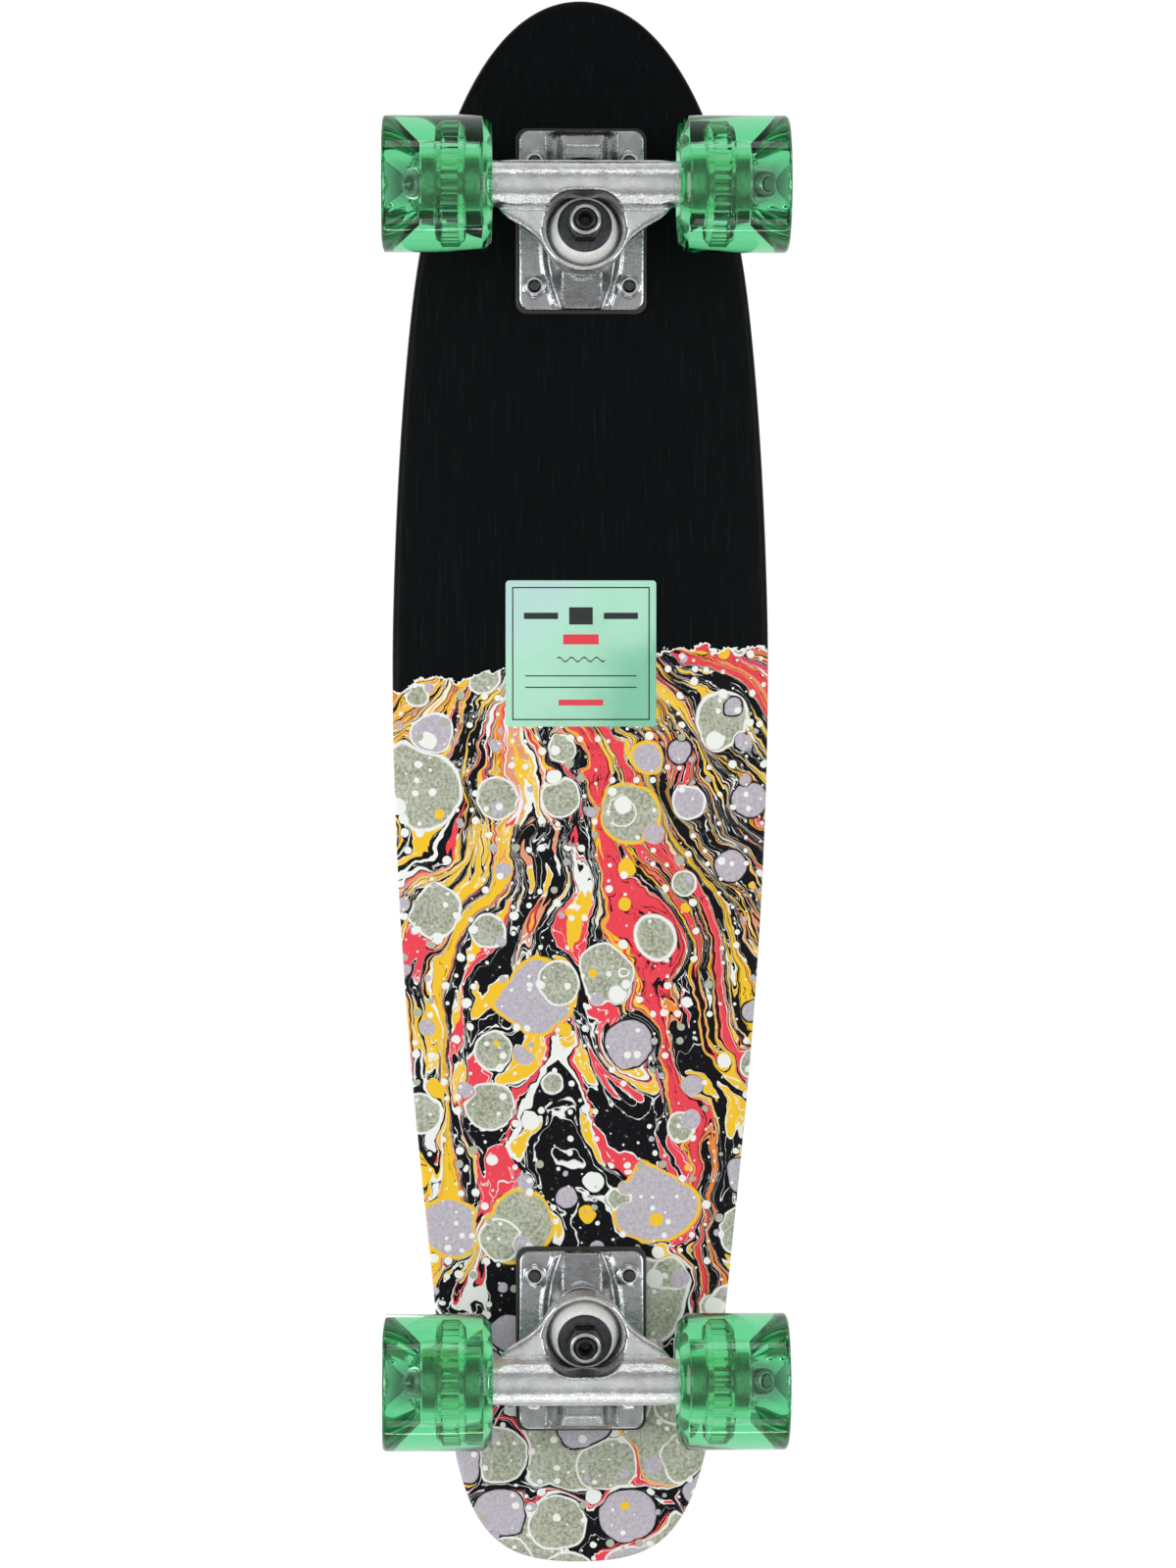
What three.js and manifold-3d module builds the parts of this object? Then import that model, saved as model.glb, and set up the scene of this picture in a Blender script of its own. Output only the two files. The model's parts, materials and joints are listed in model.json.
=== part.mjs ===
// Cruiser skateboard: wooden deck with grip tape, two cast kingpin trucks and four clear urethane wheels.
// Millimetres, +X to the nose, +Y to the rider's left, +Z up. The wheels stand on z = 0.
import * as THREE from 'three';
import { mergeVertices } from 'three/addons/utils/BufferGeometryUtils.js';
import Module from 'manifold-3d';

const wasm = await Module();
wasm.setup();

// ---- driving dimensions ----
const gap = 0.3; // clearance between pieces that touch

const deckHalfLength = 343;
const deckHalfWidth = 82;
const deckThickness = 10;
const gripThickness = 0.7;
const flatHalfWidth = 30; // the deck is flat this far either side of its centre line
const concaveRise = 5;
const noseKick = { start: 284, radius: 120, angle: THREE.MathUtils.degToRad(11) };
const tailKick = { start: 282, radius: 90, angle: THREE.MathUtils.degToRad(20) };

const truckCentre = 242.9; // middle of each bolt pattern from the deck's centre
const boltHalfLength = 27;
const boltHalfWidth = 20.65;
const boltRadius = 2.4;
const boltHoleRadius = 2.8;
const boltHeadRadius = 4.7;

const riserThickness = 3;
const baseplate = { inner: -37, outer: 41, halfWidth: 27.15, corner: 4, flange: 5.5 };
const kingpinTilt = THREE.MathUtils.degToRad(12.5);
const ringCentre = { s: -6.8, drop: 34 }; // middle of the hanger ring, outward and below the baseplate face
const pivotCentre = { s: 27, drop: 14 };
const axleCentre = { s: 14.5, drop: 50 };
const kingpinRadius = 4.75;

const hangerBarRadius = 9.5;
const hangerHalfLength = 45.5;
const axleRadius = 4;
const axleHalfLength = 84.5;

const wheelRadius = 29.5;
const wheelSides = 32;
const wheelInner = 40; // the wheel's inner face from the board's centre line
const wheelOuter = 87.4;
const bearingRadius = 10.85;
const bearingWidth = 7;
const innerBearingFace = 46.5;
const outerBearingFace = 70.5;

// The wheel has a flat side at the bottom, so its axle stands at the height of that side.
const axleHeight = wheelRadius * Math.cos(Math.PI / wheelSides);
const baseplateHeight = axleHeight + axleCentre.drop;
const deckBottom = baseplateHeight + riserThickness;

// ---- materials ----
const finish = (color, roughness, metalness = 0) => ({ color, roughness, metalness });
const finishes = {
  wood: finish(0x17171a, 0.42),
  grip: finish(0x1c1c1c, 0.95),
  riser: finish(0x141414, 0.7),
  castMetal: finish(0xb9bbbd, 0.38, 1),
  steel: finish(0xa6a9ad, 0.28, 1),
  blackSteel: finish(0x202225, 0.4, 0.8),
  blackUrethane: finish(0x151515, 0.5),
  whiteUrethane: finish(0xdfe0dc, 0.45),
  greenUrethane: finish(0x3dbe6c, 0.12),
  clearPlastic: finish(0xb8e8c6, 0.3),
};

// ---- making solids ----

// Gives one closed mesh with shared vertices, no collapsed triangles and faces pointing out.
function closed(geometry) {
  const bare = new THREE.BufferGeometry();
  bare.setAttribute('position', geometry.getAttribute('position').clone());
  if (geometry.index) bare.setIndex(geometry.index.clone());
  const merged = mergeVertices(bare, 1e-4);
  const position = merged.getAttribute('position');
  const kept = [];
  let volume = 0;
  const [a, b, c] = [new THREE.Vector3(), new THREE.Vector3(), new THREE.Vector3()];
  for (let i = 0; i < merged.index.count; i += 3) {
    const corners = [0, 1, 2].map((n) => merged.index.getX(i + n));
    if (new Set(corners).size < 3) continue;
    a.fromBufferAttribute(position, corners[0]);
    b.fromBufferAttribute(position, corners[1]);
    c.fromBufferAttribute(position, corners[2]);
    volume += a.dot(b.cross(c));
    kept.push(corners);
  }
  if (volume < 0) kept.forEach((corners) => corners.reverse());
  merged.setIndex(kept.flat());
  return merged;
}

function toSolid(geometry) {
  const body = closed(geometry);
  return new wasm.Manifold(new wasm.Mesh({
    numProp: 3,
    vertProperties: new Float32Array(body.getAttribute('position').array),
    triVerts: new Uint32Array(body.index.array),
  }));
}

function toGeometry(solid) {
  const mesh = solid.getMesh();
  const geometry = new THREE.BufferGeometry();
  geometry.setAttribute('position', new THREE.BufferAttribute(mesh.vertProperties, 3));
  geometry.setIndex(new THREE.BufferAttribute(mesh.triVerts, 1));
  return geometry;
}

function join(...geometries) {
  return geometries.map(toSolid).reduce((whole, next) => whole.add(next));
}

function cut(solid, ...geometries) {
  return geometries.map(toSolid).reduce((whole, next) => whole.subtract(next), solid);
}

// Turns a list of [radius, height] points about Z.
function turned(points, sides) {
  const profile = points.map(([radius, height]) => new THREE.Vector2(radius, height));
  return new THREE.LatheGeometry(profile, sides).rotateX(Math.PI / 2);
}

// A ring about Z, from its [radius, height] corners, closed on itself.
function ring(points, sides) {
  return turned([...points, points[0]], sides);
}

function rod(radius, bottom, top, sides) {
  return turned([[0, bottom], [radius, bottom], [radius, top], [0, top]], sides);
}

function plate(shape, bottom, top, curveSegments = 6) {
  const depth = top - bottom;
  return new THREE.ExtrudeGeometry(shape, { depth, bevelEnabled: false, curveSegments })
    .translate(0, 0, bottom);
}

// A side outline of [x, z] points, carried across Y.
function sideProfile(points, halfWidth) {
  const shape = new THREE.Shape(points.map(([x, z]) => new THREE.Vector2(x, z)));
  return plate(shape, -halfWidth, halfWidth).rotateX(Math.PI / 2);
}

// A front outline of [y, z] points, carried along X.
function frontProfile(points, start, end) {
  const shape = new THREE.Shape(points.map(([y, z]) => new THREE.Vector2(y, z)));
  const turn = new THREE.Matrix4().makeBasis(
    new THREE.Vector3(0, 1, 0), new THREE.Vector3(0, 0, 1), new THREE.Vector3(1, 0, 0));
  return plate(shape, start, end).applyMatrix4(turn);
}

function roundedRectangle(x0, x1, y0, y1, radius) {
  const shape = new THREE.Shape();
  shape.moveTo(x0 + radius, y0);
  shape.lineTo(x1 - radius, y0);
  shape.absarc(x1 - radius, y0 + radius, radius, -Math.PI / 2, 0);
  shape.lineTo(x1, y1 - radius);
  shape.absarc(x1 - radius, y1 - radius, radius, 0, Math.PI / 2);
  shape.lineTo(x0 + radius, y1);
  shape.absarc(x0 + radius, y1 - radius, radius, Math.PI / 2, Math.PI);
  shape.lineTo(x0, y0 + radius);
  shape.absarc(x0 + radius, y0 + radius, radius, Math.PI, 1.5 * Math.PI);
  return shape;
}

function addHole(shape, x, y, radius) {
  shape.holes.push(new THREE.Path().absarc(x, y, radius, 0, 2 * Math.PI, true));
}

function hexNut(acrossFlats, holeRadius, bottom, top) {
  const corner = acrossFlats / Math.sqrt(3);
  const corners = Array.from({ length: 6 }, (_, i) => (i * Math.PI) / 3)
    .map((angle) => new THREE.Vector2(corner * Math.cos(angle), corner * Math.sin(angle)));
  const shape = new THREE.Shape(corners);
  addHole(shape, 0, 0, holeRadius);
  return plate(shape, bottom, top, 8);
}

const group = new THREE.Group();

function addPiece(name, geometry, look, parent) {
  const mesh = new THREE.Mesh(closed(geometry), new THREE.MeshStandardMaterial(finishes[look]));
  mesh.name = name;
  parent.add(mesh);
}

// ---- deck and grip tape ----

// Half of the outline as [x, half width], from nose to tail.
const outlineSpans = [
  [[343, 0], [343, 37.4], [287, 64.5], [207, 73.7]],
  [[207, 73.7], [146, 80.8], [72, 82], [52, 82]],
  [[52, 82], [-68, 82], [-171, 68.8], [-208, 65]],
  [[-208, 65], [-322, 53], [-343, 48.7], [-343, 0]],
].map((corners) => new THREE.CubicBezierCurve(...corners.map(([x, w]) => new THREE.Vector2(x, w))));

const spanSteps = [8, 3, 4, 9];
const tipTrim = 0.05; // each tip ends in a short straight edge

function deckStations(inset) {
  const stations = [];
  outlineSpans.forEach((span, n) => {
    const from = n === 0 ? tipTrim : 0;
    const to = n === outlineSpans.length - 1 ? 1 - tipTrim : 1;
    for (let i = n === 0 ? 0 : 1; i <= spanSteps[n]; i += 1) {
      const point = span.getPoint(from + ((to - from) * i) / spanSteps[n]);
      const scale = 1 - inset / deckHalfLength;
      stations.push([point.x * scale, point.y - inset]);
    }
  });
  return stations;
}

function kickRise(distance, kick) {
  const beyond = distance - kick.start;
  if (beyond <= 0) return 0;
  const bendLength = kick.radius * Math.sin(kick.angle);
  const bent = Math.min(beyond, bendLength);
  const bend = kick.radius - Math.sqrt(kick.radius ** 2 - bent ** 2);
  return bend + Math.max(0, beyond - bendLength) * Math.tan(kick.angle);
}

function deckRise(x, y) {
  const side = Math.max(0, (Math.abs(y) - flatHalfWidth) / (deckHalfWidth - flatHalfWidth));
  return concaveRise * side ** 1.5 + (x > 0 ? kickRise(x, noseKick) : kickRise(-x, tailKick));
}

// Places across the board, as shares of the raised strip outside the flat one.
const raisedShares = [0, 0.5, 1];

function columnsAcross(halfWidth) {
  const flat = Math.min(flatHalfWidth, 0.6 * halfWidth);
  const right = raisedShares.map((share) => flat + (halfWidth - flat) * share);
  return [...right.map((y) => -y).reverse(), ...right];
}

// A board-shaped shell between two heights above the underside of the flat.
function boardShell(bottom, top, inset) {
  const vertices = [];
  const faces = [];
  const stations = deckStations(inset);
  const across = 2 * raisedShares.length;
  stations.forEach(([x, halfWidth]) => {
    columnsAcross(halfWidth).forEach((y) => {
      const rise = deckBottom + deckRise(x, y);
      vertices.push(x, y, rise + bottom, x, y, rise + top);
    });
  });
  const low = (i, j) => 2 * (i * across + j);
  const high = (i, j) => low(i, j) + 1;
  const quad = (a, b, c, d) => faces.push(a, b, c, a, c, d);
  const last = stations.length - 1;
  for (let i = 0; i < last; i += 1) {
    for (let j = 0; j < across - 1; j += 1) {
      quad(high(i, j), high(i, j + 1), high(i + 1, j + 1), high(i + 1, j));
      quad(low(i, j), low(i + 1, j), low(i + 1, j + 1), low(i, j + 1));
    }
    quad(high(i, 0), high(i + 1, 0), low(i + 1, 0), low(i, 0));
    quad(high(i, across - 1), low(i, across - 1), low(i + 1, across - 1), high(i + 1, across - 1));
  }
  for (let j = 0; j < across - 1; j += 1) {
    quad(high(0, j), low(0, j), low(0, j + 1), high(0, j + 1));
    quad(high(last, j), high(last, j + 1), low(last, j + 1), low(last, j));
  }
  const geometry = new THREE.BufferGeometry();
  geometry.setAttribute('position', new THREE.Float32BufferAttribute(vertices, 3));
  geometry.setIndex(faces);
  return geometry;
}

const boltPlaces = [-1, 1].flatMap((end) => [-1, 1].map((side) => [end * boltHalfLength, side * boltHalfWidth]));

const gripBottom = deckThickness + gap;
const gripTop = gripBottom + gripThickness;
const headSides = 12;
const headFlat = 0.6; // straight edge of the countersunk head, below its top
const headCone = 2.4;

function boltCutter(x, y) {
  const radius = boltHeadRadius + gap;
  const coneTop = gripTop - headFlat - gap;
  return turned([
    [0, -1], [boltHoleRadius, -1], [boltHoleRadius, coneTop - headCone - gap],
    [radius, coneTop - gap / 2], [radius, gripTop + 2], [0, gripTop + 2],
  ], headSides).translate(x, y, deckBottom);
}

const boltCutters = [-1, 1].flatMap((end) => boltPlaces.map(([s, y]) => boltCutter(end * (truckCentre + s), y)));

addPiece('deck', toGeometry(cut(toSolid(boardShell(0, deckThickness, 0)), ...boltCutters)), 'wood', group);
addPiece('grip_tape', toGeometry(cut(toSolid(boardShell(gripBottom, gripTop, 0.5)), ...boltCutters)),
  'grip', group);

// ---- truck frames: x runs outward from the bolt pattern's centre, z = 0 is the baseplate's face ----

const steerRun = pivotCentre.s - ringCentre.s;
const steerFall = ringCentre.drop - pivotCentre.drop;
const pivotReach = Math.hypot(steerRun, steerFall);

// Along the kingpin: its own z is up, and z = 0 is the middle of the hanger ring.
const kingpinFrame = new THREE.Matrix4()
  .makeRotationY(-kingpinTilt)
  .setPosition(ringCentre.s, 0, -ringCentre.drop);

// Along the steering axis: its own z runs from the ring's middle to the pivot.
const steeringFrame = new THREE.Matrix4()
  .makeRotationY(Math.atan2(steerRun, steerFall))
  .setPosition(ringCentre.s, 0, -ringCentre.drop);

const onKingpin = (geometry) => geometry.applyMatrix4(kingpinFrame);
const onSteering = (geometry) => geometry.applyMatrix4(steeringFrame);

// Heights along the kingpin.
const ringHalf = 4.5;
const bossEnd = 20.7;
const headBottom = 27.3;
const headTop = 32.8;
const kingpinHeadRadius = 7;
const boardsideWasher = [18.8, 20.4];
const boardsideBushing = [ringHalf + gap, 18.5];
const roadsideBushing = [-15.9, -ringHalf - gap];
const roadsideWasher = [-17.7, -16.2];
const kingpinNut = [-26.3, -18];
const kingpinEnd = -27.5;

// Distances along the steering axis.
const cupMouth = pivotReach - 5.2;
const cupFloor = pivotReach + 2.4;
const cupEnd = pivotReach + 4.4;
const cupRadius = 7.9;
const pivotTipRadius = 5.2;

function baseplateSolid() {
  const outline = roundedRectangle(
    baseplate.inner, baseplate.outer, -baseplate.halfWidth, baseplate.halfWidth, baseplate.corner);
  boltPlaces.forEach(([x, y]) => addHole(outline, x, y, boltHoleRadius));
  const flange = plate(outline, -baseplate.flange, 0, 4);
  const boss = onKingpin(turned([[0, bossEnd], [10.5, bossEnd], [13.6, 30], [0, 30]], 20));
  const housing = sideProfile([[17, -4], [17, -5.6], [28.6, -24.6], [33, -24.4], [38.6, -18], [40.6, -4]], 11.5);
  const kingpinBore = onKingpin(rod(kingpinRadius + gap, 10, 40, 20));
  const headPocket = onKingpin(rod(kingpinHeadRadius + 2 * gap, headBottom - gap, 45, 20));
  const cupBore = onSteering(rod(cupRadius + gap, pivotReach - 20, cupEnd + gap, 20));
  return cut(join(flange, boss, housing), kingpinBore, headPocket, cupBore);
}

// The cast hanger in its own kingpin frame, made where three outlines meet.
function hangerSolid() {
  const plan = new THREE.Shape();
  plan.moveTo(8.3, 42);
  plan.quadraticCurveTo(2.5, 21, -12.3, 12.4);
  plan.lineTo(-12.3, -12.4);
  plan.quadraticCurveTo(2.5, -21, 8.3, -42);
  plan.lineTo(30, -42);
  plan.lineTo(30, 42);
  const side = [
    [-18, -4.5], [-18, 4.5], [13.6, 4.5], [19.5, 12.5], [27.5, 14], [28.5, 8.5],
    [27, -20], [17.3, -28], [8, -20], [9.5, -11], [3, -4.5],
  ];
  const front = [
    [-44, -29], [-44, -14], [-20, 4.5], [-9.5, 14], [9.5, 14], [20, 4.5], [44, -14], [44, -29],
  ];
  const web = toSolid(onKingpin(plate(plan, -32, 20, 5)))
    .intersect(toSolid(onKingpin(sideProfile(side, 50))))
    .intersect(toSolid(onKingpin(frontProfile(front, -30, 40))));
  const bar = new THREE.CylinderGeometry(hangerBarRadius, hangerBarRadius, 2 * hangerHalfLength, 20)
    .translate(axleCentre.s, 0, -axleCentre.drop);
  const ringCup = onKingpin(rod(17.5, -10, ringHalf, 24));
  const stem = onSteering(turned([
    [0, 20], [8.5, 20], [8, 26], [pivotTipRadius + 0.6, pivotReach - 6.2], [pivotTipRadius, pivotReach - 4],
    [pivotTipRadius, pivotReach - 1], [3.4, pivotReach + 1.4], [0, pivotReach + 2],
  ], 16));
  const axleBore = new THREE.CylinderGeometry(axleRadius + gap, axleRadius + gap, 100, 16)
    .translate(axleCentre.s, 0, -axleCentre.drop);
  const cupHollow = onKingpin(rod(15.5, -10.5, -ringHalf, 24));
  const ringHole = onKingpin(rod(8, -20, 20, 16));
  const scallops = [[13.2, -14.2, -10.4], [12.3, -45, -14.1]].map(([radius, bottom, top]) => onKingpin(
    plate(roundedRectangle(-radius, radius, -radius - 5, radius + 5, radius - 0.01), bottom, top, 5)));
  return cut(web.add(join(bar, ringCup, stem)), axleBore, cupHollow, ringHole, ...scallops);
}

const kingpinHole = kingpinRadius + gap;

function addTruck(end, outward) {
  const truck = new THREE.Group();
  truck.position.set(outward * truckCentre, 0, baseplateHeight);
  truck.rotation.z = outward > 0 ? 0 : Math.PI;
  group.add(truck);

  const pad = roundedRectangle(baseplate.inner - 1.5, baseplate.outer + 1.5,
    -baseplate.halfWidth - 1.5, baseplate.halfWidth + 1.5, baseplate.corner + 1);
  boltPlaces.forEach(([x, y]) => addHole(pad, x, y, boltHoleRadius));
  addPiece(`${end}_riser_pad`, plate(pad, gap, riserThickness - gap, 4), 'riser', truck);

  addPiece(`${end}_baseplate`, toGeometry(baseplateSolid()), 'castMetal', truck);

  const cup = onSteering(turned([
    [0, cupFloor], [pivotTipRadius + gap, cupFloor], [pivotTipRadius + 2 * gap, cupMouth],
    [cupRadius, cupMouth], [cupRadius, cupEnd], [0, cupEnd],
  ], 20));
  addPiece(`${end}_pivot_cup`, cup, 'blackUrethane', truck);

  const kingpin = onKingpin(turned([
    [0, kingpinEnd], [kingpinRadius - 0.6, kingpinEnd], [kingpinRadius, kingpinEnd + 0.6],
    [kingpinRadius, headBottom], [kingpinHeadRadius, headBottom], [kingpinHeadRadius, headTop], [0, headTop],
  ], 16));
  addPiece(`${end}_kingpin`, kingpin, 'steel', truck);
  addPiece(`${end}_kingpin_nut`, onKingpin(hexNut(14.3, kingpinHole, ...kingpinNut)), 'blackSteel', truck);

  const [boardLow, boardHigh] = boardsideBushing;
  const boardMiddle = (boardLow + boardHigh) / 2;
  addPiece(`${end}_boardside_bushing`, onKingpin(ring([
    [kingpinHole, boardLow], [12, boardLow], [12.7, boardMiddle], [12, boardHigh], [kingpinHole, boardHigh],
  ], 20)), 'blackUrethane', truck);
  const [roadLow, roadHigh] = roadsideBushing;
  addPiece(`${end}_roadside_bushing`, onKingpin(ring([
    [kingpinHole, roadLow], [11.5, roadLow], [14.5, roadHigh], [kingpinHole, roadHigh],
  ], 20)), 'whiteUrethane', truck);

  const washerRing = ([low, high], radius) => onKingpin(ring([
    [kingpinHole, low], [radius, low], [radius, high], [kingpinHole, high],
  ], 20));
  addPiece(`${end}_boardside_washer`, washerRing(boardsideWasher, 12.3), 'steel', truck);
  addPiece(`${end}_roadside_washer`, washerRing(roadsideWasher, 11.7), 'blackSteel', truck);

  boltPlaces.forEach(([x, y], i) => addFastener(end, i + 1, x, y, truck));

  addPiece(`${end}_hanger`, toGeometry(hangerSolid()), 'castMetal', truck);
  addAxle(end, truck);
}

function addFastener(end, number, x, y, truck) {
  const headTopHeight = riserThickness + gripTop - 0.1;
  const coneTop = headTopHeight - headFlat;
  const bolt = turned([
    [0, -14], [boltRadius, -14], [boltRadius, coneTop - headCone], [boltHeadRadius, coneTop],
    [boltHeadRadius, headTopHeight], [0, headTopHeight],
  ], headSides).translate(x, y, 0);
  addPiece(`${end}_bolt_${number}`, bolt, 'blackSteel', truck);
  const nutTop = -baseplate.flange - gap;
  const nut = hexNut(9.5, boltRadius + gap, nutTop - 5.8, nutTop).translate(x, y, 0);
  addPiece(`${end}_bolt_nut_${number}`, nut, 'steel', truck);
}

// ---- axle, wheels and bearings: lathes about Y, starting at the axle's middle ----

const lathe = (points, sides) => new THREE.LatheGeometry(
  points.map(([radius, y]) => new THREE.Vector2(radius, y)), sides).rotateY(Math.PI / sides);
const latheRing = (points, sides) => lathe([...points, points[0]], sides);

function addAxle(end, truck) {
  const axle = lathe([
    [0, -axleHalfLength], [axleRadius - 0.8, -axleHalfLength], [axleRadius, -axleHalfLength + 0.8],
    [axleRadius, axleHalfLength - 0.8], [axleRadius - 0.8, axleHalfLength], [0, axleHalfLength],
  ], 16).translate(axleCentre.s, 0, -axleCentre.drop);
  addPiece(`${end}_axle`, axle, 'steel', truck);

  // The rear truck is turned round, so its own +Y is the rider's right.
  const names = end === 'front' ? ['left', 'right'] : ['right', 'left'];
  names.forEach((side, i) => {
    const hub = new THREE.Group();
    hub.position.set(axleCentre.s, 0, -axleCentre.drop);
    hub.rotation.z = i * Math.PI;
    truck.add(hub);
    const nut = hexNut(12.7, axleRadius + gap, 0, 6).rotateX(-Math.PI / 2).translate(0, outerBearingFace + 1, 0);
    addPiece(`${end}_${side}_axle_nut`, nut, 'steel', hub);
    addWheel(`${end}_${side}`, hub);
  });
}

const coreBore = bearingRadius + gap;
const coreRadius = 12.5;
const coreFlange = { radius: 18.5, inner: 52.5, outer: 65, slope: 2.6 };

function addWheel(corner, hub) {
  const seat = coreRadius + gap;
  const groove = coreFlange.radius + gap;
  const tyre = latheRing([
    [seat, innerBearingFace], [21, wheelInner], [25.5, wheelInner], [wheelRadius, wheelInner + 4],
    [wheelRadius, wheelOuter - 2], [wheelRadius - 0.6, wheelOuter - 0.6], [wheelRadius - 2, wheelOuter],
    [23.7, wheelOuter], [seat, outerBearingFace], [seat, coreFlange.outer + gap],
    [groove, coreFlange.outer - coreFlange.slope + gap], [groove, coreFlange.inner + coreFlange.slope - gap],
    [seat, coreFlange.inner - gap],
  ], wheelSides);
  addPiece(`${corner}_tyre`, tyre, 'greenUrethane', hub);

  const shoulder = coreBore - 1.6;
  const core = latheRing([
    [coreBore, innerBearingFace], [coreRadius, innerBearingFace], [coreRadius, coreFlange.inner],
    [coreFlange.radius, coreFlange.inner + coreFlange.slope], [coreFlange.radius, coreFlange.outer - coreFlange.slope],
    [coreRadius, coreFlange.outer], [coreRadius, outerBearingFace], [coreBore, outerBearingFace],
    [coreBore, outerBearingFace - bearingWidth - gap], [shoulder, outerBearingFace - bearingWidth - gap],
    [shoulder, innerBearingFace + bearingWidth + gap], [coreBore, innerBearingFace + bearingWidth + gap],
  ], 18);
  addPiece(`${corner}_core`, core, 'clearPlastic', hub);

  [['inner', innerBearingFace], ['outer', outerBearingFace - bearingWidth]].forEach(([place, face]) => {
    const bearing = latheRing([
      [axleRadius + gap, face], [bearingRadius, face],
      [bearingRadius, face + bearingWidth], [axleRadius + gap, face + bearingWidth],
    ], 18);
    addPiece(`${corner}_${place}_bearing`, bearing, 'steel', hub);
  });
}

addTruck('front', 1);
addTruck('rear', -1);

export default group;
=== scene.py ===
"""Looks of the cruiser skateboard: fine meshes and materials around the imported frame.

Lengths are millimetres in the row frame (+X nose, +Z up) and become metres in add_mesh.
"""

import json
import math
import random

import bmesh
import bpy
import numpy as np
import openvdb
from mathutils import Matrix, Vector


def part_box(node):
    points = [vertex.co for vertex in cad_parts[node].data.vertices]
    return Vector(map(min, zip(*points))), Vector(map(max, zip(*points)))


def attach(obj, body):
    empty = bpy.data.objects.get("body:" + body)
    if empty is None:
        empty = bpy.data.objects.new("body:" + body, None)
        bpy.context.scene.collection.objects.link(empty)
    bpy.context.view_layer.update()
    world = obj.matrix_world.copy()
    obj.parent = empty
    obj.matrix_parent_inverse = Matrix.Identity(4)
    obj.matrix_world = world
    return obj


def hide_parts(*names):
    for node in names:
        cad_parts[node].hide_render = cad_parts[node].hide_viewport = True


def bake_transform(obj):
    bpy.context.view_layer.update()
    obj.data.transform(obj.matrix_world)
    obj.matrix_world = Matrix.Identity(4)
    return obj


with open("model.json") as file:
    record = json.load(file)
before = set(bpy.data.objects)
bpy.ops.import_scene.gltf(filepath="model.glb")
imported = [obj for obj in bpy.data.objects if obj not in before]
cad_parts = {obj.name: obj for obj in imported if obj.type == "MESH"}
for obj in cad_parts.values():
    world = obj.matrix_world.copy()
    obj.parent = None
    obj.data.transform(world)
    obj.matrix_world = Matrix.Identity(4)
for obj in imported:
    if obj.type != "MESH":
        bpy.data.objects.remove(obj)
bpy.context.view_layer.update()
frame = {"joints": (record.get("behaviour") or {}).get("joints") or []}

MM = 0.001
ENDS = ("front", "rear")
SIDES = ("left", "right")
TAU = 2 * math.pi


# ---- places, from the frame ----


def node_box(node):
    """Lowest and highest corners of a CAD node, in millimetres."""
    return [Vector(corner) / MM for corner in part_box(node)]


def top_of(node):
    return node_box(node)[1].z


def joint_place(name):
    """A joint's position in millimetres and its axis."""
    joint = next(j for j in frame["joints"] if j["name"] == name)
    return Vector(joint["pos_m"]) / MM, Vector(joint["axis"])


def bolt_centre(end):
    corners = [node_box(f"{end}_bolt_{i}") for i in range(1, 5)]
    return sum(((low + high) / 2 for low, high in corners), Vector()) / 4


# The deck's widest half and thickness, and the gap that the CAD leaves between touching solids.
HALF_WIDTH = 82.7
THICKNESS = 10
GAP = 0.3
DECK_BOTTOM = top_of("front_riser_pad") + GAP
GRIP_TOP = top_of("grip_tape") - top_of("deck") + THICKNESS
FACE_HEIGHT = top_of("front_baseplate")
TRUCK_X = bolt_centre("front").x
RING_PLACE, STEER_AXIS = joint_place("front_steer")
AXLE_PLACE = joint_place("front_left_spin")[0]
# The ring's centre and the axle, in a truck's own frame.
RING = Vector((RING_PLACE.x - TRUCK_X, 0, RING_PLACE.z - FACE_HEIGHT))
AXLE = Vector((AXLE_PLACE.x - TRUCK_X, 0, AXLE_PLACE.z - FACE_HEIGHT))
# The kingpin's lean, the mounting bolts' places and the pivot's place, in that frame.
TILT = math.radians(12.5)
BOLT_X = 27
BOLT_Y = 20.65
PIVOT_X = 27
CORNERS = ((-1, -1), (-1, 1), (1, -1), (1, 1))

KINGPIN = Matrix.Translation(RING) @ Matrix.Rotation(-TILT, 4, "Y")
STEER_LEAN = math.atan2(STEER_AXIS.x, STEER_AXIS.z)
STEERING = Matrix.Translation(RING) @ Matrix.Rotation(STEER_LEAN, 4, "Y")
PIVOT_REACH = (PIVOT_X - RING.x) / STEER_AXIS.x


def truck_frame(end):
    """From a truck's own frame to the row frame: x outward, z = 0 on the baseplate's face."""
    turn = 0 if end == "front" else math.pi
    outward = 1 if end == "front" else -1
    place = Matrix.Translation((outward * TRUCK_X, 0, FACE_HEIGHT))
    return place @ Matrix.Rotation(turn, 4, "Z")


# ---- meshes ----


def link_object(name, data):
    thing = bpy.data.objects.new(name, data)
    bpy.context.scene.collection.objects.link(thing)
    return thing


def smooth(mesh, crease):
    """Smooth shading, apart from edges sharper than crease degrees."""
    mesh.polygons.foreach_set("use_smooth", [True] * len(mesh.polygons))
    if crease:
        mesh.set_sharp_from_angle(angle=math.radians(crease))


def add_mesh(name, vertices, faces, material, place=None, crease=35):
    """A smooth-shaded object from millimetre vertices in a frame of its own."""
    mesh = bpy.data.meshes.new(name)
    points = np.asarray(vertices, float)
    if place is not None:
        matrix = np.array(place)
        points = points @ matrix[:3, :3].T + matrix[:3, 3]
    mesh.from_pydata((points * MM).tolist(), [], [list(face) for face in faces])
    mesh.update()
    smooth(mesh, crease)
    mesh.materials.append(material)
    return link_object(name, mesh)


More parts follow.
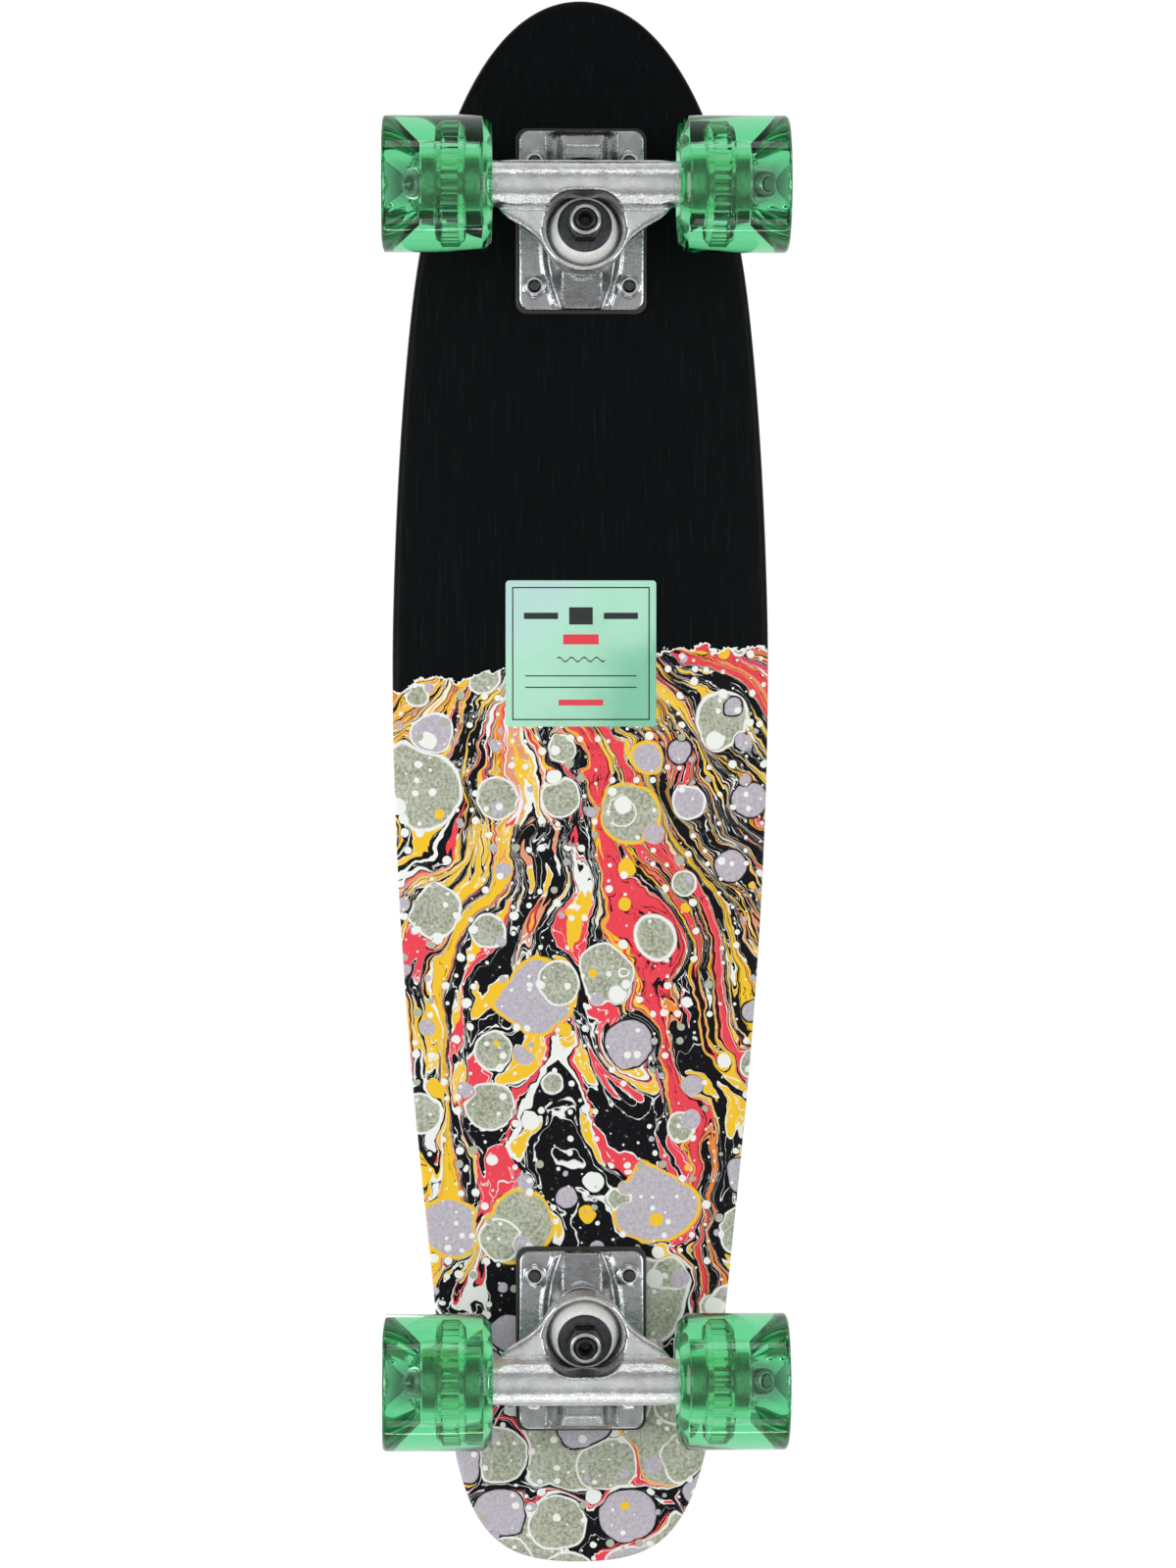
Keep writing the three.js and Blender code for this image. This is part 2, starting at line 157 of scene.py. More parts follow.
def add_built(name, built, materials):
    """An object from a bmesh, with its faces turned outwards."""
    bmesh.ops.recalc_face_normals(built, faces=built.faces)
    mesh = bpy.data.meshes.new(name)
    built.to_mesh(mesh)
    built.free()
    for material in materials:
        mesh.materials.append(material)
    return link_object(name, mesh)


def place_piece(piece, body, slot, *nodes):
    """Puts a piece on its body, in place of the CAD nodes named; the slot is not used."""
    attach(piece, body)
    if nodes:
        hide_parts(*nodes)


def value_at(value, angle):
    """A loop's radius or height, which may be a number or a function of the angle."""
    return value(angle) if callable(value) else value


def turned(loops, sides):
    """Vertices and faces about Z through (radius, height) loops; either may depend on the angle.

    A loop of radius 0 is one point. A body that doesn't start with one is a ring, so its last
    loop joins its first.
    """
    vertices = []
    rows = []
    angles = [TAU * i / sides for i in range(sides)]
    for radius, height in loops:
        if not callable(radius) and radius == 0:
            rows.append([len(vertices)] * sides)
            vertices.append((0, 0, height))
            continue
        rows.append(range(len(vertices), len(vertices) + sides))
        for angle in angles:
            r = value_at(radius, angle)
            vertices.append((r * math.cos(angle), r * math.sin(angle), value_at(height, angle)))
    faces = []
    pairs = list(zip(rows, rows[1:]))
    if loops[0][0] != 0:
        pairs.append((rows[-1], rows[0]))
    for low, high in pairs:
        for i in range(sides):
            k = (i + 1) % sides
            corners = [low[i], low[k], high[k], high[i]]
            face = [c for n, c in enumerate(corners) if c not in corners[:n]]
            if len(face) > 2:
                faces.append(face)
    return vertices, faces


def about_y(side):
    """Turns a lathe's Z into the wheel's outward direction."""
    return Matrix.Rotation(-side * math.pi / 2, 4, "X")


def hex_loops(across, low, high):
    """A hexagonal nut's loops, with chamfered corners: its lower face, sides and upper face."""
    flat = across / 2
    face_edge = flat * 0.98
    slope = math.tan(math.radians(28))

    def hexagon(angle):
        return flat / math.cos((angle + math.pi / 6) % (math.pi / 3) - math.pi / 6)

    def drop(angle):
        return (hexagon(angle) - face_edge) * slope

    return [
        (face_edge, low),
        (hexagon, lambda a: low + drop(a)),
        (hexagon, lambda a: high - drop(a)),
        (face_edge, high),
    ]


def thread_loops(radius, low, high, pitch):
    """Loops of a threaded stretch, from low to high."""
    loops = []
    count = int((high - low) / pitch)
    depth = 0.28 * pitch
    for i in range(count):
        start = low + i * pitch
        loops += [(radius - depth, start), (radius, start + 0.4 * pitch), (radius, start + 0.6 * pitch)]
    loops.append((radius - depth, low + count * pitch))
    return loops


def cut_with(piece, *cutters):
    """Cuts each cutter out of the piece and applies it."""
    for cutter in cutters:
        modifier = piece.modifiers.new("cut", "BOOLEAN")
        modifier.object = cutter
        modifier.operation = "DIFFERENCE"
        modifier.solver = "EXACT"
    bpy.context.view_layer.update()
    shape = piece.evaluated_get(bpy.context.evaluated_depsgraph_get())
    mesh = bpy.data.meshes.new_from_object(shape)
    mesh.name = piece.name
    piece.modifiers.clear()
    old = piece.data
    piece.data = mesh
    bpy.data.meshes.remove(old)
    for cutter in cutters:
        bpy.data.objects.remove(cutter)


# ---- material nodes ----


class Value:
    """A node's output. Arithmetic on it adds Math nodes, or Vector Math nodes for a vector."""

    def __init__(self, nodes, socket):
        self.nodes = nodes
        self.socket = socket
        self.is_vector = socket.type != "VALUE"

    def __add__(self, other):
        return self.nodes.math("ADD", self, other)

    def __sub__(self, other):
        return self.nodes.math("SUBTRACT", self, other)

    def __rsub__(self, other):
        return self.nodes.math("SUBTRACT", other, self)

    def __mul__(self, other):
        return self.nodes.math("MULTIPLY", self, other)

    def __truediv__(self, other):
        return self.nodes.math("DIVIDE", self, other)

    def __gt__(self, other):
        return self.nodes.math("GREATER_THAN", self, other)

    def __lt__(self, other):
        return self.nodes.math("LESS_THAN", self, other)

    def __abs__(self):
        return self.nodes.math("ABSOLUTE", self)

    __radd__ = __add__
    __rmul__ = __mul__


def is_vector(value):
    return isinstance(value, tuple) or (isinstance(value, Value) and value.is_vector)


class Nodes:
    """Short calls that add shader nodes to one material or world and return their outputs."""

    def __init__(self, owner, shader="Principled BSDF"):
        owner.use_nodes = True
        self.owner = owner
        self.tree = owner.node_tree
        self.shader = self.tree.nodes[shader]
        self.coordinates = self.add("TexCoord").outputs
        self.place = Value(self, self.coordinates["Object"])

    def add(self, kind, **settings):
        node = self.tree.nodes.new("ShaderNode" + kind)
        for key, value in settings.items():
            setattr(node, key, value)
        return node

    def link(self, socket, value):
        if isinstance(value, Value):
            value = value.socket
        if isinstance(value, bpy.types.NodeSocket):
            self.tree.links.new(value, socket)
        elif isinstance(value, tuple) and socket.type == "RGBA":
            socket.default_value = (*value, 1)
        else:
            socket.default_value = value

    def feed(self, node, sockets, values, out=0):
        """Gives the sockets their values and returns one of the node's outputs."""
        for socket, value in zip(sockets, values):
            self.link(socket, value)
        return Value(self, node.outputs[out])

    def math(self, operation, *values):
        if not is_vector(values[0]):
            node = self.add("Math", operation=operation)
            return self.feed(node, node.inputs, values)
        if operation == "MULTIPLY" and not is_vector(values[1]):
            node = self.add("VectorMath", operation="SCALE")
            return self.feed(node, (node.inputs[0], node.inputs["Scale"]), values)
        node = self.add("VectorMath", operation=operation)
        return self.feed(node, node.inputs, values)

    def split(self, vector):
        node = self.add("SeparateXYZ")
        self.link(node.inputs[0], vector)
        return [Value(self, output) for output in node.outputs]

    def join(self, x, y):
        node = self.add("CombineXYZ")
        return self.feed(node, node.inputs, (x, y))

    def noise(self, vector, scale, detail=2.0, roughness=0.5, out="Fac"):
        node = self.add("TexNoise")
        sockets = [node.inputs[key] for key in ("Vector", "Scale", "Detail", "Roughness")]
        return self.feed(node, sockets, (vector, scale, detail, roughness), out)

    def voronoi(self, vector, scale, feature="F1", randomness=1.0, dimensions="2D"):
        """The node's outputs by name."""
        node = self.add("TexVoronoi", feature=feature, voronoi_dimensions=dimensions)
        sockets = [node.inputs[key] for key in ("Vector", "Scale", "Randomness")]
        self.feed(node, sockets, (vector, scale, randomness))
        return {output.name: Value(self, output) for output in node.outputs}

    def random(self, value):
        node = self.add("TexWhiteNoise", noise_dimensions="1D")
        return self.feed(node, [node.inputs["W"]], [value], "Value")

    def between(self, value, low, high, to_low=0.0, to_high=1.0, kind="LINEAR"):
        node = self.add("MapRange", interpolation_type=kind)
        return self.feed(node, node.inputs, (value, low, high, to_low, to_high))

    def ramp(self, value, stops, interpolation="LINEAR"):
        node = self.add("ValToRGB")
        node.color_ramp.interpolation = interpolation
        elements = node.color_ramp.elements
        while len(elements) < len(stops):
            elements.new(1.0)
        for element, (position, colour) in zip(elements, stops):
            element.position = position
            element.color = (*colour, 1)
        return self.feed(node, node.inputs, [value])

    def mix(self, share, first, second):
        node = self.add("Mix", data_type="RGBA")
        return self.feed(node, [node.inputs[i] for i in (0, 6, 7)], (share, first, second), 2)

    def mix_shaders(self, share, first, second, output):
        node = self.add("MixShader")
        self.feed(node, node.inputs, (share, first.outputs[0], second.outputs[0]))
        self.link(self.tree.nodes[output].inputs[0], node.outputs[0])

    def bump(self, height, distance):
        node = self.add("Bump")
        self.link(node.inputs["Strength"], 1.0)
        self.feed(node, [node.inputs[key] for key in ("Height", "Distance")], (height, distance))
        self.link(self.shader.inputs["Normal"], node.outputs[0])

    def set(self, **values):
        for key, value in values.items():
            self.link(self.shader.inputs[key.replace("_", " ")], value)
        return self.owner


def material_nodes(name):
    return Nodes(bpy.data.materials.new(name))


def shaded(colour, share):
    return tuple(share * c for c in colour)


def cast_metal(name, colour, roughness, grain):
    """Cast aluminium: fine grain, faint cloudy tone and lighter rubbed edges."""
    n = material_nodes(name)
    clouds = n.noise(n.place, 160, 4, 0.6)
    grit = n.noise(n.place, 1500, 3, 0.7)
    ripple = n.noise(n.place, 330)
    edge = n.between(n.add("NewGeometry").outputs["Pointiness"], 0.5, 0.62)
    tone = n.mix(n.between(clouds, 0.3, 0.7), shaded(colour, 0.72), colour)
    n.bump(ripple * 2.2 + clouds + grit * grain, 0.00014)
    rubbed = n.between(grit, 0.3, 0.7, -0.05, 0.08) + roughness - edge * 0.12
    return n.set(Base_Color=n.mix(edge, tone, (0.93, 0.93, 0.94)), Metallic=1.0, Roughness=rubbed)


def plain_metal(name, colour, roughness, metallic=1.0):
    """Turned or plated metal with faint streaks and tarnish."""
    n = material_nodes(name)
    spots = n.noise(n.place, 420, 3, 0.6)
    tone = n.mix(n.between(spots, 0.35, 0.75), colour, shaded(colour, 0.6))
    n.bump(n.noise(n.place * (1, 1, 12), 500), 0.00004)
    rough = n.between(spots, 0.3, 0.7, roughness - 0.05, roughness + 0.08)
    return n.set(Base_Color=tone, Metallic=metallic, Roughness=rough)


def moulded(name, colour, roughness):
    """Moulded rubber or urethane with fine mottling."""
    n = material_nodes(name)
    mottle = n.noise(n.place, 700, 4, 0.65)
    tone = n.mix(n.between(mottle, 0.3, 0.75), colour, shaded(colour, 0.78))
    n.bump(mottle, 0.00006)
    rough = n.between(mottle, 0.3, 0.7, roughness - 0.06, roughness + 0.1)
    return n.set(Base_Color=tone, Roughness=rough)


def clear_urethane(name, colour, depth_colour, density, ior, roughness, clear=1.0):
    """Tinted clear plastic that darkens with depth, with faint ripples and handling scuffs."""
    n = material_nodes(name)
    ripple = n.noise(n.place, 60)
    scuff = n.noise(n.place * (1, 6, 1), 300, 4, 0.7)
    rough = n.between(scuff, 0.6, 0.85, roughness, roughness + 0.06)
    tint = n.mix(n.between(ripple, 0.3, 0.7), colour, shaded(colour, 0.97))
    n.bump(ripple, 0.00005)
    depth = n.add("VolumeAbsorption")
    n.link(depth.inputs["Color"], depth_colour)
    n.link(depth.inputs["Density"], density)
    n.link(n.tree.nodes["Material Output"].inputs["Volume"], depth.outputs[0])
    return n.set(Base_Color=tint, Roughness=rough, IOR=ior, Transmission_Weight=clear)


def grip_material():
    """Coarse black abrasive sheet with glinting grains."""
    n = material_nodes("grip_abrasive")
    grains = n.voronoi(n.place, 1500, dimensions="3D")
    worn = n.noise(n.place, 14, 3, 0.6)
    glint = n.between(n.split(grains["Color"])[0], 0.9, 0.98)
    base = n.mix(n.between(worn, 0.35, 0.7), (0.012, 0.012, 0.013), (0.03, 0.03, 0.031))
    n.bump(grains["Distance"], 0.0004)
    rough = n.between(glint, 0, 1, 0.92, 0.45)
    return n.set(Base_Color=n.mix(glint, base, (0.16, 0.16, 0.17)), Roughness=rough)


def edge_material():
    """Stained plies on the deck's rim, from the stored height across its thickness."""
    n = material_nodes("ply_edge")
    across = Value(n, n.add("Attribute", attribute_name="ply_height").outputs["Fac"])
    layer = across * 7.0
    odd = n.math("PINGPONG", layer, 1.0)
    joint = n.between(n.math("PINGPONG", layer, 0.5), 0.0, 0.06)
    fibre = n.noise(n.place * (1, 1, 9), 220, 4, 0.6)
    light = n.mix(fibre, (0.05, 0.03, 0.02), (0.13, 0.085, 0.055))
    tone = n.mix(odd, light, (0.035, 0.022, 0.016))
    stain = n.mix(0.72, tone, (0.006, 0.006, 0.007))
    n.bump(joint, 0.0001)
    return n.set(Base_Color=n.mix(joint, (0.004, 0.004, 0.004), stain), Roughness=0.38)


CORAL = (0.78, 0.060, 0.085)
PINK = (0.70, 0.045, 0.17)
SALMON = (0.72, 0.30, 0.17)
YELLOW = (0.84, 0.52, 0.030)
ORANGE = (0.80, 0.24, 0.045)
WHITE = (0.80, 0.82, 0.78)
INK = (0.006, 0.006, 0.008)
OLIVE = (0.26, 0.28, 0.19)
SAGE = (0.40, 0.43, 0.34)
LILAC = (0.40, 0.36, 0.42)
BAND_SEED = 144.0


def drop_layer(n, place, scale, seed, sizes, chance):
    """One layer of round paint drops in a warped grid.

    Returns the place pushed aside by the drops, the drops' mask, their rim's mask and a random
    number for each drop. sizes are the smallest and largest radius, as shares of a cell.
    """
    shifted = place + (seed, 2 * seed, 0)
    wobbled = shifted + n.noise(shifted, scale * 1.6, 3, 0.55, "Color") * (0.13 / scale)
    cells = n.voronoi(wobbled, scale, randomness=0.85)
    to_edge = n.voronoi(wobbled, scale, "DISTANCE_TO_EDGE", 0.85)["Distance"]
    red, green, blue = n.split(cells["Color"])
    there = green < chance
    radius = n.between(red * red, 0, 1, *sizes)
    distance = cells["Distance"]
    ratio = radius / n.math("MAXIMUM", distance, 0.001)
    squeeze = n.math("SQRT", n.math("MAXIMUM", 1.0 - ratio * ratio, 0.0))
    fade = n.between(to_edge, 0.0, 0.2, kind="SMOOTHSTEP")
    pull = (1.0 - squeeze) * fade * there
    moved = place - (wobbled - cells["Position"]) * pull
    # Neighbouring drops press flat against each other and leave a thin gap.
    depth = n.math("SMOOTH_MIN", radius - distance, to_edge - 0.02, 0.24)
    inside = n.between(depth, -0.008, 0.012) * there
    rim = n.between(depth, -0.04, -0.025) * there
    return moved, inside, rim, blue


BODY_STOPS = (
    (0.0, INK),
    (0.57, CORAL),
    (0.63, YELLOW),
    (0.73, PINK),
    (0.78, CORAL),
    (0.82, ORANGE),
    (0.85, WHITE),
    (0.87, INK),
)
COMB_STOPS = (
    (0.0, INK),
    (0.25, YELLOW),
    (0.45, SALMON),
    (0.60, CORAL),
    (0.72, WHITE),
    (0.82, ORANGE),
    (0.92, INK),
)
# Thin stripes inside each band: middle, half width and random seed.
STRIPES = ((0.09, 0.055, 11.0), (0.20, 0.022, 29.0), (0.86, 0.035, 47.0), (0.95, 0.03, 5.0))


def marbled_bands(n, place):
    """Bands of paint that fan out from under the label and run down to the tail."""
    middle = (0.5, 0.5, 0.5)
    drift = (n.noise(place + (4.2, 1.7, 0), 8, out="Color") - middle) * 0.10
    shiver = (n.noise(place, 38, 3, 0.55, "Color") - middle) * 0.016
    flow_x, flow_y, _ = n.split(place + (drift + shiver))
    ahead = 0.090 - flow_x
    swing = n.between(flow_y, -0.045, 0.03, 0.0, 0.42) * flow_x
    angle = n.math("ARCTAN2", flow_y + 0.012 + swing, ahead)
    across = angle * 12.0 + flow_y * 16.0
    along = ahead * 7.0
    twist = n.noise(n.join(across, along * 1.1), 0.33, 3, 0.6)
    band = across + twist * 11.0

    def paint(value, seed, stops):
        return n.ramp(n.random(n.math("FLOOR", value) + seed), stops, "CONSTANT")

    body = paint(band, BAND_SEED, BODY_STOPS)
    shade = n.random(n.math("FLOOR", band) + BAND_SEED)
    dark = n.math("MAXIMUM", shade < 0.57, shade > 0.87)
    inner = n.math("FRACT", band)
    for centre, half_width, seed in STRIPES:
        body = n.mix(abs(inner - centre) < half_width, body, paint(band, seed, COMB_STOPS))

    # Long blobs of yellow and red lie inside the wide black bands, each with a thin pale edge.
    stretched = n.join(along * 4.0, band * 2.3)
    blobs = n.voronoi(stretched, 1.0, randomness=0.8)
    red, green, _ = n.split(blobs["Color"])
    depth = n.between(red, 0, 1, 0.02, 0.48) - blobs["Distance"]
    edged = n.mix((depth > -0.03) * dark, body, WHITE)
    body = n.mix((depth > 0.0) * dark, edged, n.mix(green > 0.30, CORAL, YELLOW))

    # Fine combed stripes take over in places, most of all near the start on the -Y side.
    comb = paint(band * 4.5, 71.0, COMB_STOPS)
    patch = n.noise(n.join(across * 0.25, along * 0.5), 2.0, 1, 0.4)
    combed = patch + (flow_y * -1.6 + flow_x * 0.9) > 0.60
    body = n.mix(combed, body, comb)

    # Thin veins wander along the bands.
    veins = abs(n.noise(stretched + (9, 2, 0), 1.0, 3, 0.6) - 0.5)
    return n.mix(n.between(veins, 0.004, 0.010, 1.0, 0.0), body, n.mix(dark, INK, WHITE))


def paint_material():
    """The deck's underside: satin black towards the nose, marbled paint towards the tail."""
    n = material_nodes("underside_paint")
    place = n.place * (1, 1, 0)
    x, y, _ = n.split(place)

    # Drops float on the bands and push them aside; they crowd together towards the tail.
    tailward = n.between(x, -0.19, -0.29)
    crowd = tailward * 0.42 + 0.52
    few = tailward * 0.5 + 0.50
    least = tailward * 0.32 + 0.14
    moved, dots, _, dots_random = drop_layer(n, place, 165, 3.1, (0.07, 0.34), 0.52)
    moved, small, _, small_random = drop_layer(n, moved, 72, 7.7, (0.09, 0.36), 0.5)
    moved, middle, middle_rim, middle_random = drop_layer(n, moved, 36, 1.3, (least, 0.44), crowd)
    moved, large, large_rim, large_random = drop_layer(n, moved, 22, 5.9, (least, 0.44), few)
    colour = marbled_bands(n, moved)

    speckle = n.noise(place, 620, 4, 0.7)
    cloud = n.noise(place, 75, 5, 0.68)
    stone = n.mix(n.between(cloud, 0.38, 0.62), OLIVE, SAGE)
    stone = n.mix(n.between(speckle, 0.42, 0.74, 0.0, 0.75), stone, (0.70, 0.71, 0.63))
    stone = n.mix(n.between(speckle, 0.50, 0.30, 0.0, 0.6), stone, (0.16, 0.17, 0.08))
    mauve = n.mix(n.between(speckle, 0.36, 0.7, 0.0, 0.8), LILAC, (0.62, 0.59, 0.63))
    colour = n.mix(large_rim, colour, n.mix(large_random > 0.5, WHITE, YELLOW))
    colour = n.mix(large, colour, n.mix(large_random > 0.74, stone, mauve))
    colour = n.mix(middle_rim, colour, n.mix(middle_random > 0.6, WHITE, INK))
    colour = n.mix(middle, colour, n.mix(middle_random > 0.5, stone, mauve))
    pale = n.mix(small_random > 0.55, mauve, WHITE)
    colour = n.mix(small, colour, n.mix(small_random > 0.86, pale, YELLOW))
    colour = n.mix(dots, colour, n.mix(dots_random > 0.8, WHITE, SAGE))
    washed = n.between(n.noise(place, 420, 3, 0.7), 0.62, 0.76, 0.0, 0.3)
    colour = n.mix(washed, colour, WHITE)

    # The paint starts at a torn wavy edge, higher on the +Y side.
    tear = n.noise(place, 60, 5, 0.65) + n.noise(place, 18) * 0.8
    start = tear * 0.022 + (y * 0.10 + 0.032)
    past = start - x
    painted = past > 0.0
    colour = n.mix(past < 0.0011, colour, WHITE)

    grain = n.noise(n.place * (0.045, 1, 1), 900, 4, 0.65)
    # The black gets lighter streaks along the wood grain: real grain, lightened further as a painted sheen.
    grain_sheen_streaks = n.between(grain, 0.55, 0.75)
    black = n.mix(grain_sheen_streaks, (0.0014, 0.0022, 0.0027), (0.0075, 0.0095, 0.0110))
    n.bump(grain, 0.00004)
    rough = n.between(grain, 0.3, 0.7, 0.36, 0.46) + painted * 0.06
    n.set(Specular_IOR_Level=0.06)
    return n.set(Base_Color=n.mix(painted, black, colour), Roughness=rough)


def label_material(low, high):
    """A pearly mint label with a thin inset border and plain bars in place of print."""
    n = material_nodes("label_print")
    x, y, _ = n.split(n.place)
    centre = (low + high) / 2 * MM
    half = (high - low) / 2 * MM
    up = x - centre.x
    right = y - centre.y

    def bar(middle_up, middle_right, half_up, half_right):
        far_up = abs(up - middle_up) - half_up
        far_right = abs(right - middle_right) - half_right
        return n.math("MAXIMUM", far_up, far_right) < 0.0

    def most(*masks):
        whole = masks[0]
        for mask in masks[1:]:
            whole = n.math("MAXIMUM", whole, mask)
        return whole

    inset = 0.0028
    line = 0.0003
    outer = bar(0, 0, half.x - inset, half.y - inset)
    inner = bar(0, 0, half.x - inset - 2 * line, half.y - inset - 2 * line)
    sine = n.math("SINE", right * 1150.0) * 0.0009
    wave_up = -0.0026
    wave = (abs(up - sine - wave_up) < 0.00032) * bar(wave_up, 0, 0.004, 0.0105)
    dark = most(
        outer - inner,
        bar(0.0165, -0.0175, 0.0014, 0.0075),
        bar(0.0165, 0.0, 0.0038, 0.0052),
        bar(0.0165, 0.0175, 0.0014, 0.0075),
        wave,
        bar(-0.0098, 0, 0.00028, 0.0245),
        bar(-0.0148, 0, 0.00028, 0.0245),
    )
    red = most(bar(0.0062, 0, 0.0022, 0.0078), bar(-0.0215, 0, 0.0013, 0.0098))
    swirl = n.noise(n.place, 26, 3, 0.55)
    mint = n.ramp(n.between((up - right) * 9.0 + swirl, 0.1, 0.95), (
        (0.0, (0.20, 0.52, 0.36)),
        (0.35, (0.36, 0.68, 0.50)),
        (0.7, (0.42, 0.74, 0.58)),
        (1.0, (0.46, 0.68, 0.66)),
    ))
    colour = n.mix(dark, mint, (0.012, 0.016, 0.016))
    colour = n.mix(red, colour, (0.72, 0.04, 0.06))
    n.bump(n.noise(n.place, 900), 0.00002)
    return n.set(Base_Color=colour, Roughness=n.between(swirl, 0.3, 0.7, 0.3, 0.4))


CAST = cast_metal("cast_aluminium", (0.80, 0.81, 0.82), 0.27, 0.5)
# The baseplate's aluminium is a darker copy of the hanger's: painted shade, as it sits in shade close under
# the deck.
BASE_CAST_IN_SHADE = cast_metal("cast_baseplate_painted_shade", (0.42, 0.43, 0.44), 0.24, 0.7)
STEEL = plain_metal("plated_steel", (0.66, 0.67, 0.69), 0.24)
BLACK_STEEL = plain_metal("black_oxide", (0.085, 0.087, 0.092), 0.2)
SOCKET = plain_metal("socket_shadow", (0.03, 0.03, 0.032), 0.4, 0.6)
RISER = moulded("riser_rubber", (0.018, 0.018, 0.019), 0.55)
BLACK_RUBBER = moulded("black_urethane", (0.016, 0.016, 0.017), 0.42)
WHITE_RUBBER = moulded("white_urethane", (0.80, 0.80, 0.77), 0.38)
SHIELD = plain_metal("bearing_shield", (0.55, 0.56, 0.57), 0.32)
GREEN = clear_urethane("green_urethane", (0.56, 0.96, 0.66), (0.0, 0.77, 0.46), 25.0, 1.47, 0.0)
CORE = clear_urethane("clear_core", (0.94, 1.0, 0.92), (0.3, 0.9, 0.6), 4.0, 1.17, 0.03, 0.94)


# ---- deck, grip tape and label ----

# Half of the outline as Bezier corners (x, half width), from nose to tail.
OUTLINE = (
    ((342.2, 0), (342.2, 37.6), (287, 64.9), (207, 74.1)),
    ((207, 74.1), (146, 81.1), (72, HALF_WIDTH), (52, HALF_WIDTH)),
    ((52, HALF_WIDTH), (-68, HALF_WIDTH), (-171, 70.1), (-208, 66.5)),
    ((-208, 66.5), (-322, 55.2), (-347, 50.6), (-347, 0)),
)
SPAN_STEPS = (56, 30, 46, 64)
FLAT_HALF = 30
CONCAVE = 5
# Each kick: where it starts, its bend's radius and its angle.
NOSE_KICK = (284, 120, math.radians(11))
TAIL_KICK = (282, 90, math.radians(20))


def bezier(corners, t):
    weights = ((1 - t) ** 3, 3 * t * (1 - t) ** 2, 3 * t * t * (1 - t), t**3)
    return Vector([sum(w * c[i] for w, c in zip(weights, corners)) for i in (0, 1)])


def bezier_slope(corners, t):
    steps = [Vector(b) - Vector(a) for a, b in zip(corners, corners[1:])]
    return (1 - t) ** 2 * steps[0] + 2 * t * (1 - t) * steps[1] + t * t * steps[2]


def outline_stations():
    """(point, outward normal) pairs along the half outline."""
    stations = []
    for n, (corners, steps) in enumerate(zip(OUTLINE, SPAN_STEPS)):
        for i in range(0 if n == 0 else 1, steps + 1):
            slope = bezier_slope(corners, i / steps).normalized()
            stations.append((bezier(corners, i / steps), Vector((-slope.y, slope.x)) * -1))
    return stations


def kick_rise(distance, kick):
    """How far an end of the deck bends up, at a distance from the middle."""
    start, radius, angle = kick
    beyond = distance - start
    if beyond <= 0:
        return 0
    bend_length = radius * math.sin(angle)
    bent = min(beyond, bend_length)
    return radius - math.sqrt(radius**2 - bent**2) + max(0, beyond - bend_length) * math.tan(angle)


def deck_rise(x, y):
    """The underside's height over its middle, from the concave and the kicks."""
    side = max(0, (abs(y) - FLAT_HALF) / (HALF_WIDTH - FLAT_HALF))
    return CONCAVE * side**1.5 + (kick_rise(x, NOSE_KICK) if x > 0 else kick_rise(-x, TAIL_KICK))


ACROSS = 44
RIM_STEPS = 6


def board_shell(name, bottom, top, inset, rounding, materials):
    """A board-shaped body between two heights over the underside, with rounded rims.

    rounding is (bottom radius, top radius). Faces below, on the rim and above take materials
    0, 1 and 2 of the list, as far as it goes.
    """
    stations = outline_stations()
    low_round, high_round = rounding
    quarter = [math.pi / 2 * i / RIM_STEPS for i in range(RIM_STEPS + 1)]
    rim = [(low_round * (1 - math.sin(a)), bottom + low_round * (1 - math.cos(a))) for a in quarter]
    rim += [(high_round * (1 - math.cos(a)), top - high_round * (1 - math.sin(a))) for a in quarter]
    shares = [2 * j / ACROSS - 1 for j in range(ACROSS + 1)]
    mesh = bmesh.new()
    heights = mesh.verts.layers.float.new("ply_height")

    def add(x, y, height):
        vertex = mesh.verts.new(Vector((x, y, DECK_BOTTOM + deck_rise(x, y) + height)) * MM)
        vertex[heights] = (height - bottom) / (top - bottom)
        return vertex

    def rows_of(spots):
        """One row of vertices for each station, at (depth, height, share of the width)."""
        rows = []
        for point, normal in stations:
            row = []
            for depth, height, share in spots:
                moved = point - normal * (depth + inset)
                row.append(add(moved.x, max(moved.y, 0) * share, height))
            rows.append(row)
        return rows

    def skin(rows, flip, material_at):
        for near, far in zip(rows, rows[1:]):
            for k in range(len(near) - 1):
                corners = [near[k], near[k + 1], far[k + 1], far[k]]
                face = mesh.faces.new(corners[::-1] if flip else corners)
                face.material_index = min(material_at(k), len(materials) - 1)

    skin(rows_of([(low_round, bottom, share) for share in shares]), True, lambda k: 0)
    skin(rows_of([(high_round, top, share) for share in shares]), False, lambda k: 2)
    for side in (1, -1):
        spots = [(depth, height, side) for depth, height in rim]
        skin(rows_of(spots), side < 0, lambda k: 1 if k >= RIM_STEPS - 1 else 0)
    bmesh.ops.remove_doubles(mesh, verts=mesh.verts, dist=2e-6)
    bmesh.ops.dissolve_degenerate(mesh, edges=mesh.edges, dist=2e-6)
    piece = add_built(name, mesh, materials)
    smooth(piece.data, 40)
    return piece


HEAD_RADIUS = 4.7
HOLE_RADIUS = 2.7


def bolt_places():
    for end in ENDS:
        for number, (x, y) in enumerate(CORNERS, 1):
            yield end, number, truck_frame(end) @ Matrix.Translation((x * BOLT_X, y * BOLT_Y, 0))


def bolt_hole(place):
    """A countersunk hole through the board at one bolt, as a cutter."""
    top = DECK_BOTTOM - FACE_HEIGHT + GRIP_TOP
    sink = HEAD_RADIUS + 0.25
    loops = [(0, -2), (HOLE_RADIUS, -2), (HOLE_RADIUS, top - 3.6), (sink, top - 0.9), (sink, top + 3),
             (0, top + 3)]
    return add_mesh("hole", *turned(loops, 32), BLACK_STEEL, place, crease=0)


